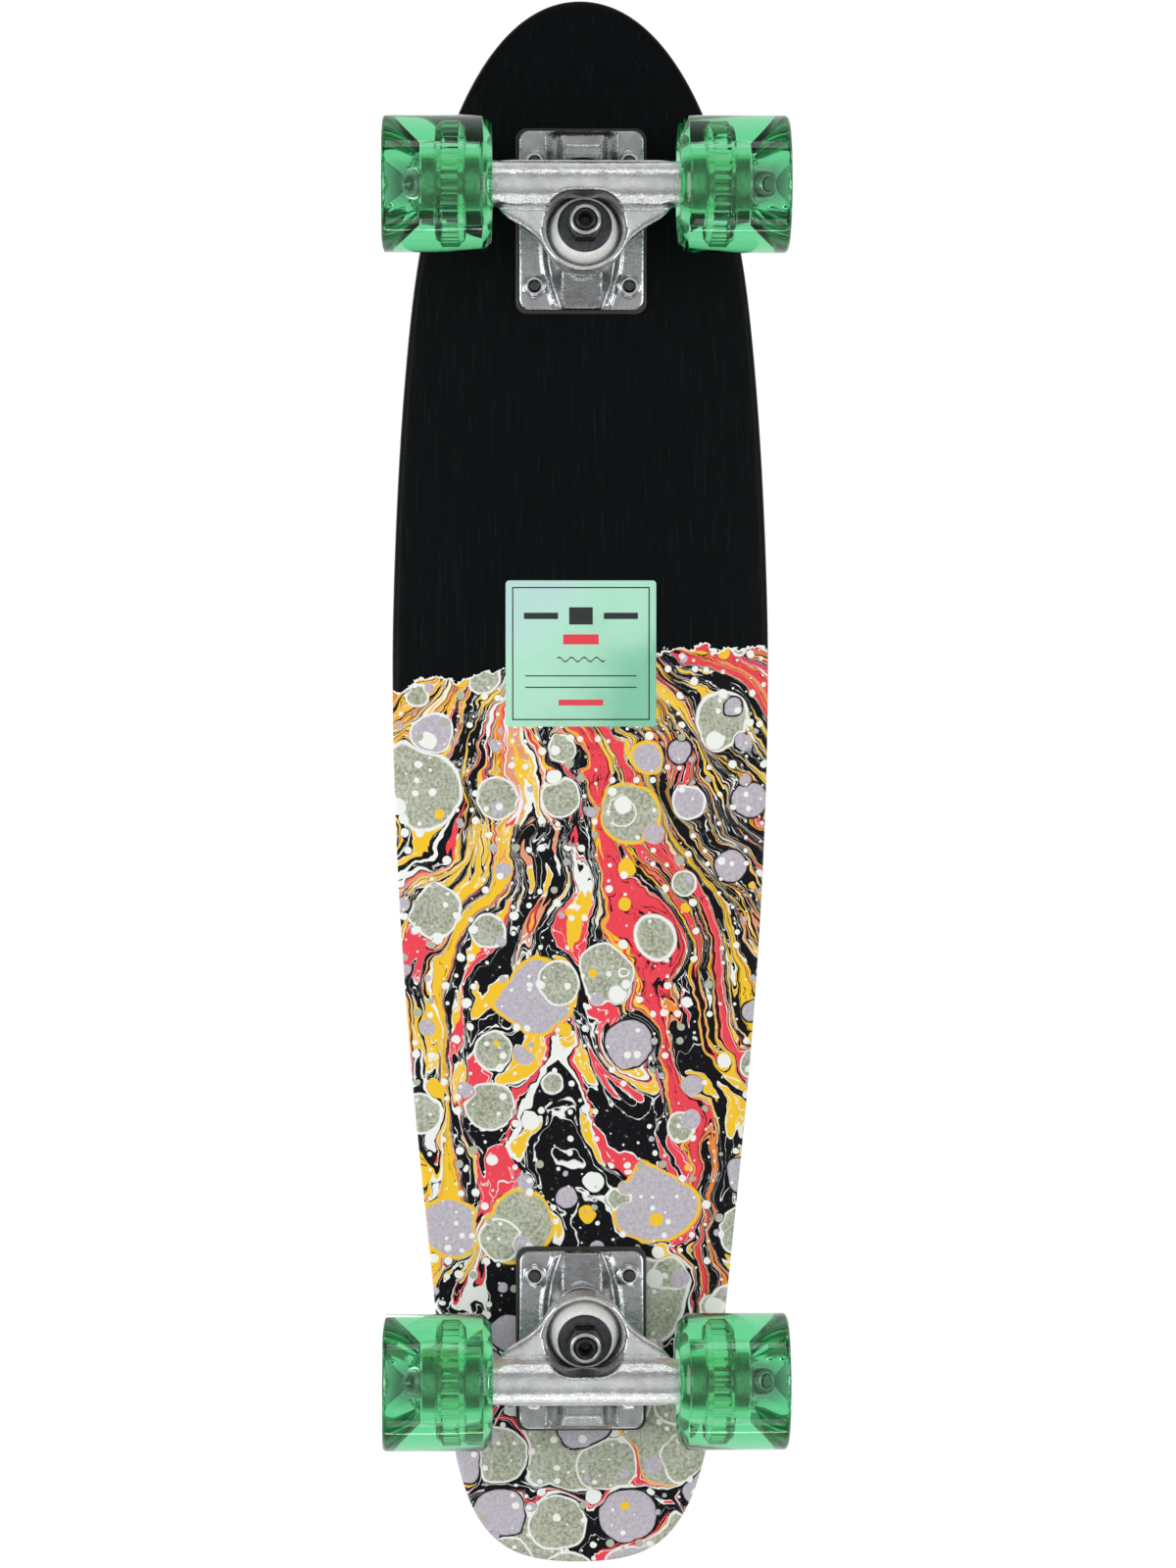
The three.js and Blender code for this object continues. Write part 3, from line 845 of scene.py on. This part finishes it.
def add_deck():
    stain = moulded("deck_top_stain", (0.02, 0.02, 0.02), 0.5)
    layers = (
        ("painted_deck", 0, THICKNESS, 0, (3.2, 2.2), [paint_material(), edge_material(), stain],
         "painted_deck", "deck"),
        ("grip_sheet", THICKNESS + 0.03, GRIP_TOP, 1.1, (0.1, 0.25), [grip_material()],
         "grip", "grip_tape"),
    )
    for *shape, slot, node in layers:
        layer = board_shell(*shape)
        cut_with(layer, *(bolt_hole(place) for _, _, place in bolt_places()))
        place_piece(layer, "deck", slot, node)


def add_label():
    """A thin square film that follows the underside."""
    low = Vector((24, -33, 0))
    high = Vector((88, 33, 0))
    corner = 1.2
    steps = 22
    film = 0.12
    clearance = 0.02
    trim = 0.35 * corner
    mesh = bmesh.new()

    def stops(start, end):
        span = end - start - 2 * corner
        return [start] + [start + corner + span * i / steps for i in range(steps + 1)] + [end]

    xs = stops(low.x, high.x)
    ys = stops(low.y, high.y)
    last = steps + 2

    def at(i, j, drop):
        x, y = xs[i], ys[j]
        if i in (0, last) and j in (0, last):
            x += trim if i == 0 else -trim
            y += trim if j == 0 else -trim
        return mesh.verts.new(Vector((x, y, DECK_BOTTOM + deck_rise(x, y) - drop)) * MM)

    lower, upper = ([[at(i, j, drop) for j in range(last + 1)] for i in range(last + 1)]
                    for drop in (film + clearance, clearance))
    for i in range(last):
        for j in range(last):
            mesh.faces.new([lower[i][j], lower[i][j + 1], lower[i + 1][j + 1], lower[i + 1][j]])
            mesh.faces.new([upper[i][j], upper[i + 1][j], upper[i + 1][j + 1], upper[i][j + 1]])
    border = [(i, 0) for i in range(last)] + [(last, j) for j in range(last)]
    border += [(i, last) for i in range(last, 0, -1)] + [(0, j) for j in range(last, 0, -1)]
    for (i, j), (k, m) in zip(border, border[1:] + border[:1]):
        mesh.faces.new([lower[i][j], lower[k][m], upper[k][m], upper[i][j]])
    piece = add_built("underside_label", mesh, [label_material(low, high)])
    place_piece(piece, "deck", "painted_deck")


# ---- cast parts, from signed distance fields on a grid ----


def smooth_max(a, b, radius):
    """The larger of two fields, rounding their crease."""
    share = np.maximum(radius - np.abs(a - b), 0) / radius
    return np.maximum(a, b) + share * share * radius / 4


def smooth_min(a, b, radius):
    return -smooth_max(-a, -b, radius)


def tube(x, y, radius):
    """Negative inside a round bar."""
    return np.hypot(x, y) - radius


def between(z, low, high):
    """Negative inside a slab."""
    return np.maximum(low - z, z - high)


def half_plane(x, z, point, toward):
    """Negative on the left of a line from point to toward."""
    dx, dz = toward[0] - point[0], toward[1] - point[1]
    length = math.hypot(dx, dz)
    return ((x - point[0]) * dz - (z - point[1]) * dx) / length


def convex(x, z, corners, radius):
    """A convex outline with rounded corners, given anticlockwise."""
    field = None
    for a, b in zip(corners, corners[1:] + corners[:1]):
        side = half_plane(x, z, a, b)
        field = side if field is None else smooth_max(field, side, radius)
    return field


def rounded_rectangle(x, y, low_x, high_x, half_y, radius):
    far_x = np.abs(x - (low_x + high_x) / 2) - (high_x - low_x) / 2 + radius
    far_y = np.abs(y) - half_y + radius
    outside = np.hypot(np.maximum(far_x, 0), np.maximum(far_y, 0))
    return outside + np.minimum(np.maximum(far_x, far_y), 0) - radius


VOXEL = 0.5


def casting(name, field, low, high, material, place):
    """Meshes field(x, y, z) <= 0 inside a box."""
    counts = [int(round((h - l) / VOXEL)) + 1 for l, h in zip(low, high)]
    axes = [l + VOXEL * np.arange(c) for l, c in zip(low, counts)]
    x, y, z = np.meshgrid(*axes, indexing="ij", sparse=True)
    values = np.clip(field(x, y, z), -3 * VOXEL, 3 * VOXEL).astype(np.float32)
    grid = openvdb.FloatGrid(3 * VOXEL)
    grid.copyFromArray(np.broadcast_to(values, counts).copy())
    points, quads = grid.convertToQuads(0.0)
    vertices = np.asarray(points) * VOXEL + np.array(low)
    return add_mesh(name, vertices, quads.tolist(), material, place, crease=0)


# The hanger's bar, half its length, and the ball at the end of its pivot.
BAR_RADIUS = 9.5
HANGER_HALF = 45.5
TIP_RADIUS = 5.2


def wing_edge(side):
    """How far the wings reach towards the board's middle, at a distance from the truck's middle."""
    t = np.linspace(0, 1, 33)
    reach = -12.8 * (1 - t) ** 2 + 2 * t * (1 - t) * 2.5 + 8.3 * t**2
    across = 12.4 * (1 - t) ** 2 + 2 * t * (1 - t) * 21 + 42 * t**2
    return np.interp(side, across, reach)


def hanger_field(x, y, z):
    """The hanger in its kingpin frame: z along the kingpin, upwards, 0 in the middle of the ring."""
    side = np.abs(y)
    ring_half = 4.5
    floor = 10.2
    axle = KINGPIN.inverted() @ AXLE
    from_x = x - axle.x
    from_z = z - axle.z
    bar = smooth_max(tube(from_x, from_z, BAR_RADIUS), side - HANGER_HALF, 1.2)
    ridge = smooth_max(np.abs(from_z + 0.2 * from_x) - 0.35, tube(from_x, from_z, BAR_RADIUS + 0.35), 0.4)
    bar = smooth_min(bar, np.maximum(ridge, side - HANGER_HALF + 2), 0.6)

    # The ring's outer wall flares a little towards the ground.
    wall = tube(x, y, 16.8 - 0.12 * z)
    cup = smooth_max(wall, between(z, -floor, ring_half), 1.6)

    # Two wings run from the ring's sides to the bar, thinner towards their ends.
    plan = 0.75 * (wing_edge(side) - x) + 0.12 * (z + 4)
    road = half_plane(x, z, (-17, -8.9), (12, -18.8))
    board = z - ring_half + 0.78 * np.maximum(side - 14, 0) ** 1.03
    wings = smooth_max(smooth_max(plan, road, 3.0), board, 4.0)
    wings = smooth_max(wings, x - axle.x, 3.0)

    # The neck leans from the bar up to the pivot and narrows.
    neck = convex(x, z, [(9, -22), (27, -20), (29.5, 8), (27.5, 13.5), (19.5, 12.5), (13.4, 4.5)], 2.5)
    neck = smooth_max(neck, side - 8 - 0.85 * np.maximum(9 - z, 0) ** 0.98, 4.0)
    lean = STEER_LEAN + TILT
    along = x * math.sin(lean) + z * math.cos(lean)
    off = x * math.cos(lean) - z * math.sin(lean)
    stem_radius = np.interp(along, (20, 26, PIVOT_REACH - 6, PIVOT_REACH - 4), (8.4, 7.6, 5.8, TIP_RADIUS))
    tip = np.sqrt(off**2 + side**2 + (along - PIVOT_REACH + 3) ** 2) - TIP_RADIUS
    stem = smooth_max(np.hypot(off, y) - stem_radius, between(along, 19, PIVOT_REACH - 2.5), 0.5)

    body = smooth_min(cup, wings, 2.6)
    body = smooth_min(body, bar, 1.6)
    body = smooth_min(body, neck, 4.5)
    body = smooth_min(body, smooth_min(stem, tip, 1.0), 2.5)

    # The cup's hollow opens slightly; the bar is scooped out round the washer.
    hollow = smooth_max(tube(x, y, 15.5 - 0.06 * z), z + ring_half, 1.0)
    hollow = np.maximum(hollow, -z - 12)
    hole = tube(x, y, 8)
    slot_y = np.maximum(side - 5, 0)
    slot = np.maximum(np.hypot(x, slot_y) - np.where(z > -14.2, 13.2, 12.3), z + floor)
    scoop = np.maximum(tube(x, y, 15.6), np.maximum(z + 9.5, -z - 15.5))
    bore = tube(from_x, from_z, 4.1)
    carved = smooth_max(body, -hollow, 0.6)
    carved = smooth_max(carved, -slot, 1.6)
    carved = smooth_max(carved, -np.maximum(scoop, 10 - x), 0.5)
    return np.maximum(np.maximum(carved, -hole), -bore)


# How thick the baseplate is at its bolts.
FLANGE = 5.4


def baseplate_field(x, y, z):
    """The baseplate in the truck's frame, with its face at z = 0."""
    side = np.abs(y)
    under = -FLANGE - z
    outline = rounded_rectangle(x, y, -37, 41, 27.15, 4.5)
    flange = smooth_max(outline, between(z, -FLANGE, 0), 1.0)

    # The mound under the kingpin starts narrow at the inner end and widens to the boss.
    spread = 14.6 - 0.0072 * (x + 8) ** 2
    flat = half_plane(x, z, (-39.5, -6.2), (-18, -14.6))
    mound = smooth_max(side - spread + 0.62 * np.maximum(under, 0), flat, 1.2)
    mound = smooth_max(mound, np.maximum(between(x, -36.6, -6), z), 0.8)
    local = KINGPIN.inverted()
    along = x * local[2][0] + z * local[2][2] + local[2][3]
    off = x * local[0][0] + z * local[0][2] + local[0][3]
    boss_end = 20.7
    boss_wall = np.hypot(off, y) - 10.6 - 0.33 * (along - boss_end)
    boss = smooth_max(boss_wall, np.maximum(boss_end - along, z), 0.9)

    # A curved rib runs beside the mound on each half.
    rib = np.hypot(side - spread - 2.4, z + 5.2) - 1.3
    rib = smooth_max(rib, between(x, -35.5, 6), 1.0)

    # The pivot housing has sloped sides and holds the cup.
    profile = convex(x, z, [(17, -3), (17, -5.6), (28.3, -24.4), (33, -24.2), (38.4, -18), (40.4, -3)], 1.2)
    outer_sides = side - 12.8 + 0.24 * under
    housing = smooth_max(profile, outer_sides, 1.5)
    skirt = convex(x, z, [(14, -2), (14, -5.6), (24, -13), (37, -13), (40.6, -5), (40.6, -2)], 1.5)
    skirt = smooth_max(skirt, side - 15.5 + 0.5 * under, 2.0)

    body = smooth_min(flange, mound, 1.0)
    body = smooth_min(body, boss, 1.4)
    body = smooth_min(body, rib, 1.0)
    body = smooth_min(body, smooth_min(housing, skirt, 1.2), 1.2)
    steer = STEERING.inverted()
    reach = x * steer[2][0] + z * steer[2][2] + steer[2][3]
    away = x * steer[0][0] + z * steer[0][2] + steer[0][3]
    cup = np.maximum(np.hypot(away, y) - 8.1, np.maximum(reach - PIVOT_REACH - 4.7, 10 - reach))
    pin = np.hypot(off, y) - 5.0
    head = np.maximum(np.hypot(off, y) - 7.6, 27 - along)
    holes = np.hypot(np.abs(x) - BOLT_X, side - BOLT_Y) - 2.75
    carved = smooth_max(body, -cup, 0.4)
    carved = np.maximum(carved, -np.minimum(pin, head))
    return smooth_max(carved, -holes, 0.4)


# ---- one truck ----


def add_turned(name, loops, sides, material, place, body, slot, *nodes):
    place_piece(add_mesh(name, *turned(loops, sides), material, place), body, slot, *nodes)


def torus_loops(inner, outer, low, high, round_by, steps=4):
    """Loops of a ring whose four corners are rounded."""
    loops = []
    corners = ((outer, low, -90), (outer, high, 0), (inner, high, 90), (inner, low, 180))
    for radius, height, start in corners:
        centre_r = radius - round_by if radius == outer else radius + round_by
        centre_z = height + round_by if height == low else height - round_by
        for i in range(steps + 1):
            angle = math.radians(start + 90 * i / steps)
            loops.append((centre_r + round_by * math.cos(angle), centre_z + round_by * math.sin(angle)))
    return loops


def bushing_loops(low, high, end_radius, bulge_by, hole):
    """A turned bushing with a soft bulge between its ends."""
    loops = [(hole, low + 0.6), (hole + 0.6, low)]
    steps = 12
    for i in range(steps + 1):
        t = i / steps
        radius = end_radius + bulge_by * 4 * t * (1 - t)
        edge = 0.9 * max(0, 1 - 8 * min(t, 1 - t)) ** 2
        loops.append((radius - edge, low + (high - low) * t))
    loops += [(hole + 0.6, high), (hole, high - 0.6)]
    return loops


def add_riser(end, place):
    """A rounded rectangular pad with four bolt holes."""
    steps = 8
    half_x, middle_x, half_y, corner = 40.5, 2, 28.65, 5
    rows = ((0.8, 0.3), (0.1, 0.6), (0, 1.0), (0, 2.2), (0.1, 2.5), (0.8, 2.7))
    vertices = []
    for depth, height in rows:
        for quarter, (sx, sy) in enumerate(((1, 1), (-1, 1), (-1, -1), (1, -1))):
            for i in range(steps + 1):
                angle = math.pi / 2 * (quarter + i / steps)
                x = middle_x + sx * (half_x - corner) + (corner - depth) * math.cos(angle)
                y = sy * (half_y - corner) + (corner - depth) * math.sin(angle)
                vertices.append((x, y, height))
    count = len(vertices) // len(rows)
    above = len(vertices) - count
    faces = []
    for start in range(0, above, count):
        for i in range(count):
            k = (i + 1) % count
            faces.append([start + i, start + k, start + count + k, start + count + i])
    faces += [list(range(count))[::-1], list(range(above, len(vertices)))]
    pad = add_mesh(f"{end}_riser", vertices, faces, RISER, place)
    holes = []
    for x, y in CORNERS:
        spot = place @ Matrix.Translation((x * BOLT_X, y * BOLT_Y, 0))
        loops = [(0, -1), (HOLE_RADIUS, -1), (HOLE_RADIUS, 4), (0, 4)]
        holes.append(add_mesh("hole", *turned(loops, 24), RISER, spot, 0))
    cut_with(pad, *holes)
    place_piece(pad, "deck", "riser", f"{end}_riser_pad")


def add_kingpin_stack(end, place):
    """The kingpin, its nut, washers and bushings, in the kingpin frame."""
    axis = place @ KINGPIN

    def add(name, loops, sides, material, slot, *nodes):
        add_turned(f"{end}_{name}", loops, sides, material, axis, "deck", slot, *nodes)

    kingpin = [(0, -21.6), (2.0, -21.9), (2.9, -26.9), (3.4, -27.5), (4.2, -27.2)]
    kingpin += thread_loops(4.7, -26.6, -17, 1.05)
    kingpin += [(4.75, -16.5), (4.75, 27.3), (7, 27.3), (7, 32.3), (6.5, 32.8), (0, 32.8)]
    nut = [(4.95, -23.4), (5.4, -23.9), (6.9, -23.9)] + hex_loops(14.3, -23.9, -18)
    nut += [(5.4, -18), (4.95, -18.4)]
    cup_washer = [
        (5.0, -17.6), (9.6, -17.7), (11.0, -17.3), (11.65, -16.4), (11.7, -15.4),
        (11.35, -15.0), (11.0, -15.4), (10.6, -16.0), (9.4, -16.3), (5.0, -16.2),
    ]
    add("kingpin_bolt", kingpin, 48, SOCKET, "steel", f"{end}_kingpin")
    add("kingpin_locknut", nut, 48, BLACK_STEEL, "black_steel", f"{end}_kingpin_nut")
    add("kingpin_nut_collar", torus_loops(4.95, 6.7, -26.3, -23.95, 0.6), 48, STEEL, "steel")
    add("roadside_cup_washer", cup_washer, 64, BLACK_STEEL, "black_steel", f"{end}_roadside_washer")
    add("boardside_flat_washer", torus_loops(5.0, 12.3, 18.8, 20.4, 0.5), 64, STEEL, "steel",
        f"{end}_boardside_washer")

    road = [
        (5.1, -15.3), (5.7, -15.9), (11.2, -15.95), (12.2, -15.6), (12.9, -14.8), (13.6, -12.6),
        (14.2, -10), (14.6, -7), (14.6, -5.2), (14.2, -4.75), (5.7, -4.75), (5.1, -5.3),
    ]
    board = bushing_loops(4.75, 18.6, 12.1, 0.7, 5.1)
    for name, loops, material, slot, seat, moving in (
        ("roadside", road, WHITE_RUBBER, "white_urethane", -15.9, -4.8),
        ("boardside", board, BLACK_RUBBER, "black_urethane", 18.6, 4.8),
    ):
        start, stop = ((axis @ Vector((0, 0, height))) * MM for height in (seat, moving))
        piece = add_mesh(f"{end}_{name}_rubber", *turned(loops, 64), material, axis)
        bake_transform(piece)
        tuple(start)
        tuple(stop)
        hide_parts(f"{end}_{name}_bushing")


def add_pivot_cup(end, place):
    mouth = PIVOT_REACH - TIP_RADIUS
    loops = [
        (0, PIVOT_REACH + 2.5), (4, PIVOT_REACH + 2.2), (5.5, PIVOT_REACH - 0.5), (5.75, mouth + 1),
        (6.0, mouth), (6.6, mouth - 0.7), (7.4, mouth - 0.6), (7.85, mouth), (7.9, PIVOT_REACH + 3.6),
        (7.3, PIVOT_REACH + 4.4), (0, PIVOT_REACH + 4.4),
    ]
    add_turned(f"{end}_pivot_bush", loops, 48, BLACK_RUBBER, place @ STEERING, "deck", "black_urethane",
               f"{end}_pivot_cup")


def cross_slots(place, top):
    """Two crossed tapered blocks that cut a screwdriver recess into a bolt's head."""
    corners = [(sx * reach, sy * 0.5, z) for z, reach in ((-1.6, 0.9), (0.5, 2.5))
               for sx, sy in ((-1, -1), (1, -1), (1, 1), (-1, 1))]
    faces = [(3, 2, 1, 0), (4, 5, 6, 7), (0, 1, 5, 4), (1, 2, 6, 5), (2, 3, 7, 6), (3, 0, 4, 7)]
    for quarter in (0, math.pi / 2):
        spot = place @ Matrix.Rotation(quarter, 4, "Z") @ Matrix.Translation((0, 0, top))
        yield add_mesh("slot", corners, faces, BLACK_STEEL, spot, 0)


def add_fasteners():
    """Countersunk bolts with a cross recess, and nuts with a nylon insert."""
    top = DECK_BOTTOM - FACE_HEIGHT + GRIP_TOP - 0.1
    bolt_loops = [(0, -13.6), (1.9, -13.6)] + thread_loops(2.4, -13.2, -3, 0.8)
    bolt_loops += [(2.4, top - 3.2), (4.55, top - 0.8), (HEAD_RADIUS, top - 0.55), (HEAD_RADIUS, top - 0.2),
                   (4.4, top), (0, top)]
    dome = [(2.45, -10.9), (2.9, -11.4), (3.6, -11.4), (4.3, -10.8), (4.5, -9.8)]
    nut_loops = dome + hex_loops(9.5, -9.6, -5.7) + [(2.9, -5.7), (2.45, -6.2)]
    for end, number, place in bolt_places():
        bolt = add_mesh(f"{end}_deck_bolt_{number}", *turned(bolt_loops, 24), BLACK_STEEL, place)
        turn = Matrix.Rotation(random.uniform(0, math.pi), 4, "Z")
        cut_with(bolt, *cross_slots(place @ turn, top))
        place_piece(bolt, "deck", "black_steel", f"{end}_bolt_{number}")
        turn = Matrix.Rotation(random.uniform(0, math.pi / 3), 4, "Z")
        add_turned(f"{end}_deck_nut_{number}", nut_loops, 48, STEEL, place @ turn, "deck", "steel",
                   f"{end}_bolt_nut_{number}")


def add_axle(end, place):
    """The axle with its threaded ends; its own frame has z along the axle."""
    body = f"{end}_truck_hanger"
    hub = place @ Matrix.Translation(AXLE)
    threads = thread_loops(3.97, 70.6, 83.8, 1.06)
    loops = [(0, 84.5), (3.2, 84.5)] + threads[::-1] + [(3.97, 70), (3.97, -70)]
    loops += [(r, -z) for r, z in threads] + [(3.2, -84.5), (0, -84.5)]
    add_turned(f"{end}_axle_rod", loops, 32, STEEL, hub @ about_y(1), body, "steel", f"{end}_axle")
    nut = [(4.1, 72), (4.6, 71.6)] + hex_loops(12.7, 71.6, 75.6)
    nut += [(6.05, 75.7), (5.8, 77.1), (5.2, 77.6), (4.6, 77.6), (4.1, 77.2)]
    names = SIDES if end == "front" else SIDES[::-1]
    for side, outward in zip(names, (1, -1)):
        corner = f"{end}_{side}"
        out = hub @ about_y(outward)
        add_turned(f"{corner}_axle_locknut", nut, 48, STEEL, out, body, "steel", f"{corner}_axle_nut")
        for where, low in (("inner", 45.6), ("outer", 70.6)):
            washer = torus_loops(4.05, 6.6, low, low + 0.8, 0.25, 3)
            add_turned(f"{corner}_{where}_speed_washer", washer, 48, STEEL, out, body, "steel")
        add_wheel(corner, out)
        spacer = torus_loops(4.1, 5.3, 53.7, 63.3, 0.2, 2)
        add_turned(f"{corner}_bearing_spacer", spacer, 48, STEEL, out, body, "steel")


def add_truck(end):
    place = truck_frame(end)
    add_riser(end, place)
    plate = casting(f"{end}_baseplate_casting", baseplate_field, (-39, -29, -26.5), (43, 29, 1.5),
                    BASE_CAST_IN_SHADE, place)
    place_piece(plate, "deck", "cast_aluminium", f"{end}_baseplate")
    add_pivot_cup(end, place)
    add_kingpin_stack(end, place)
    hanger = casting(f"{end}_hanger_casting", hanger_field, (-21, -47.5, -32), (39, 47.5, 17),
                     CAST, place @ KINGPIN)
    place_piece(hanger, f"{end}_truck_hanger", "cast_aluminium", f"{end}_hanger")
    add_axle(end, place)


# ---- wheels: z runs outward from the middle of the axle ----

WHEEL_RADIUS = 29.4
WHEEL_SIDES = 128
TEETH = 28
BEARING_WIDTH = 7


def wheel_profile():
    """The urethane's section: bore, inner recess, chamfer, tread, rounded shoulder and outer cone."""
    face = 87.4
    round_by = 2.2
    quarter = [math.pi / 2 * (1 - i / 6) for i in range(7)]
    shoulder = [(WHEEL_RADIUS - round_by * (1 - math.sin(a)), face - round_by * (1 - math.cos(a)))
                for a in quarter]
    return [
        (11.2, 46.2), (12.2, 46.1), (20.6, 40.4), (21.2, 40.0), (25.3, 40.0), (25.8, 40.2), (29.1, 43.6),
        (WHEEL_RADIUS, 44.3), *shoulder, (24.3, face), (23.7, 87.1), (11.9, 71.0), (11.2, 70.9),
    ]


def tooth(root, tip):
    """A radius that steps between root and tip round the core, with sloped flanks."""

    def radius(angle):
        phase = (angle * TEETH / TAU) % 1
        rise = min(1, max(0, 4 * (0.5 - abs(2 * phase - 1) * 0.5) - 0.5))
        return root + (tip - root) * rise

    return radius


def add_wheel(corner, out):
    """The urethane, the ribbed core and two bearings."""
    body = f"{corner}_wheel"
    tyre = add_mesh(f"{corner}_urethane", *turned(wheel_profile(), WHEEL_SIDES), GREEN, out, 30)
    place_piece(tyre, body, "green_urethane", f"{corner}_tyre")
    ribs = tooth(16.6, 18.4)
    core = [
        (11.05, 46.6), (12.4, 46.6), (12.5, 52.4), (16.4, 53.0), (17.9, 55.0), (ribs, 55.3), (ribs, 62.2),
        (17.9, 62.5), (16.4, 64.6), (12.5, 65.2), (12.0, 70.4), (11.05, 70.4), (11.05, 63.3), (9.4, 63.2),
        (9.4, 53.8), (11.05, 53.7),
    ]
    hub = add_mesh(f"{corner}_hub_core", *turned(core, TEETH * 6), CORE, out, 30)
    place_piece(hub, body, "clear_core", f"{corner}_core")
    for where, low in (("inner", 46.5), ("outer", 63.5)):
        high = low + BEARING_WIDTH
        outer_ring = torus_loops(9.3, 11.0, low, high, 0.4, 3)
        inner_ring = torus_loops(4.05, 5.8, low, high, 0.3, 3)
        shields = [(5.85, low + 0.9), (6.4, low + 0.5), (8.6, low + 0.5), (9.25, low + 0.9),
                   (9.25, high - 0.9), (8.6, high - 0.5), (6.4, high - 0.5), (5.85, high - 0.9)]
        for part, loops, sides, material, nodes in (
            ("outer_race", outer_ring, 64, STEEL, [f"{corner}_{where}_bearing"]),
            ("inner_race", inner_ring, 48, STEEL, []),
            ("shields", shields, 64, SHIELD, []),
        ):
            add_turned(f"{corner}_{where}_{part}", loops, sides, material, out, body, "steel", *nodes)


# ---- stage, lights and camera ----


def add_floor():
    """A pale floor that shows from above only, so the board can be seen from underneath."""
    half = 6000
    corners = [(-half, -half, 0), (half, -half, 0), (half, half, 0), (-half, half, 0)]
    n = material_nodes("studio_floor")
    n.set(Base_Color=(0.86, 0.86, 0.86), Roughness=0.9)
    from_below = n.add("NewGeometry").outputs["Backfacing"]
    n.mix_shaders(from_below, n.shader, n.add("BsdfTransparent"), "Material Output")
    floor = add_mesh("studio_floor", corners, [(0, 1, 2, 3)], n.owner)
    for kind in ("diffuse", "glossy", "transmission", "shadow"):
        setattr(floor, f"visible_{kind}", False)


# Brightness of the surround from straight down (0) to straight up (1).
SURROUND = ((0.0, 0.80), (0.06, 0.66), (0.16, 0.26), (0.30, 0.20), (0.5, 0.50), (0.7, 0.95), (1.0, 1.0))


def add_world():
    """A soft white surround: plain white where it is seen, a gentle gradient where it lights."""
    world = bpy.data.worlds.new("studio")
    bpy.context.scene.world = world
    n = Nodes(world, "Background")
    height = n.split(n.coordinates["Generated"])[2]
    levels = n.ramp(n.between(height, -1, 1), [(place, (level,) * 3) for place, level in SURROUND])
    n.set(Color=levels, Strength=1.0)
    seen = n.add("Background")
    n.feed(seen, seen.inputs, ((1, 1, 1), 1.03))
    n.mix_shaders(n.add("LightPath").outputs["Is Camera Ray"], n.shader, seen, "World Output")


def add_light(name, place, target, size, power):
    """A soft rectangular light, size in metres, that the camera doesn't see."""
    data = bpy.data.lights.new(name, "AREA")
    data.shape = "RECTANGLE"
    data.size, data.size_y = size
    data.energy = power
    light = link_object(name, data)
    light.location = place
    light.rotation_euler = (Vector(target) - Vector(place)).to_track_quat("-Z", "Y").to_euler()
    light.visible_camera = False
    light.visible_transmission = False


def add_lights():
    add_light("left_below", (0.0, -2.0, -1.3), (0, 0, 0.08), (1.6, 1.8), 40)
    add_light("right_below", (0.0, 2.0, -1.3), (0, 0, 0.08), (1.6, 1.8), 32)
    add_light("nose_below", (2.3, 0.0, -0.9), (0.1, 0, 0.08), (1.4, 0.5), 5)
    add_light("tail_below", (-2.3, 0.0, -0.9), (-0.1, 0, 0.08), (1.4, 0.5), 4)
    add_light("tail_strip", (-2.4, -0.2, -0.05), (0, 0, 0.05), (2.6, 0.09), 8)
    add_light("top_soft", (0.4, -1.2, 2.4), (0, 0, 0.05), (2.2, 2.2), 55)


def add_camera():
    """The camera is under the board, looking up at it, with the nose at the top of the picture."""
    distance = 2.55
    data = bpy.data.cameras.new("camera")
    data.sensor_width = 36
    data.lens = 133.6
    data.clip_end = 100
    camera = link_object("camera", data)
    place = Vector((0.07, -0.080, DECK_BOTTOM * MM - distance))
    target = Vector((-0.0012, 0.0031, DECK_BOTTOM * MM))
    ahead = (target - place).normalized()
    right = ahead.cross(Vector((1, 0, 0))).normalized()
    up = right.cross(ahead)
    turn = Matrix((right, up, -ahead)).transposed().to_4x4()
    camera.matrix_world = Matrix.Translation(place) @ turn
    bpy.context.scene.camera = camera


random.seed(27)
bpy.context.scene.view_settings.view_transform = "Standard"
# Light bounces many times inside the clear wheels.
bpy.context.scene.cycles.glossy_bounces = 12
add_camera()
add_deck()
add_label()
for end_name in ENDS:
    add_truck(end_name)
add_fasteners()
add_floor()
add_world()
add_lights()
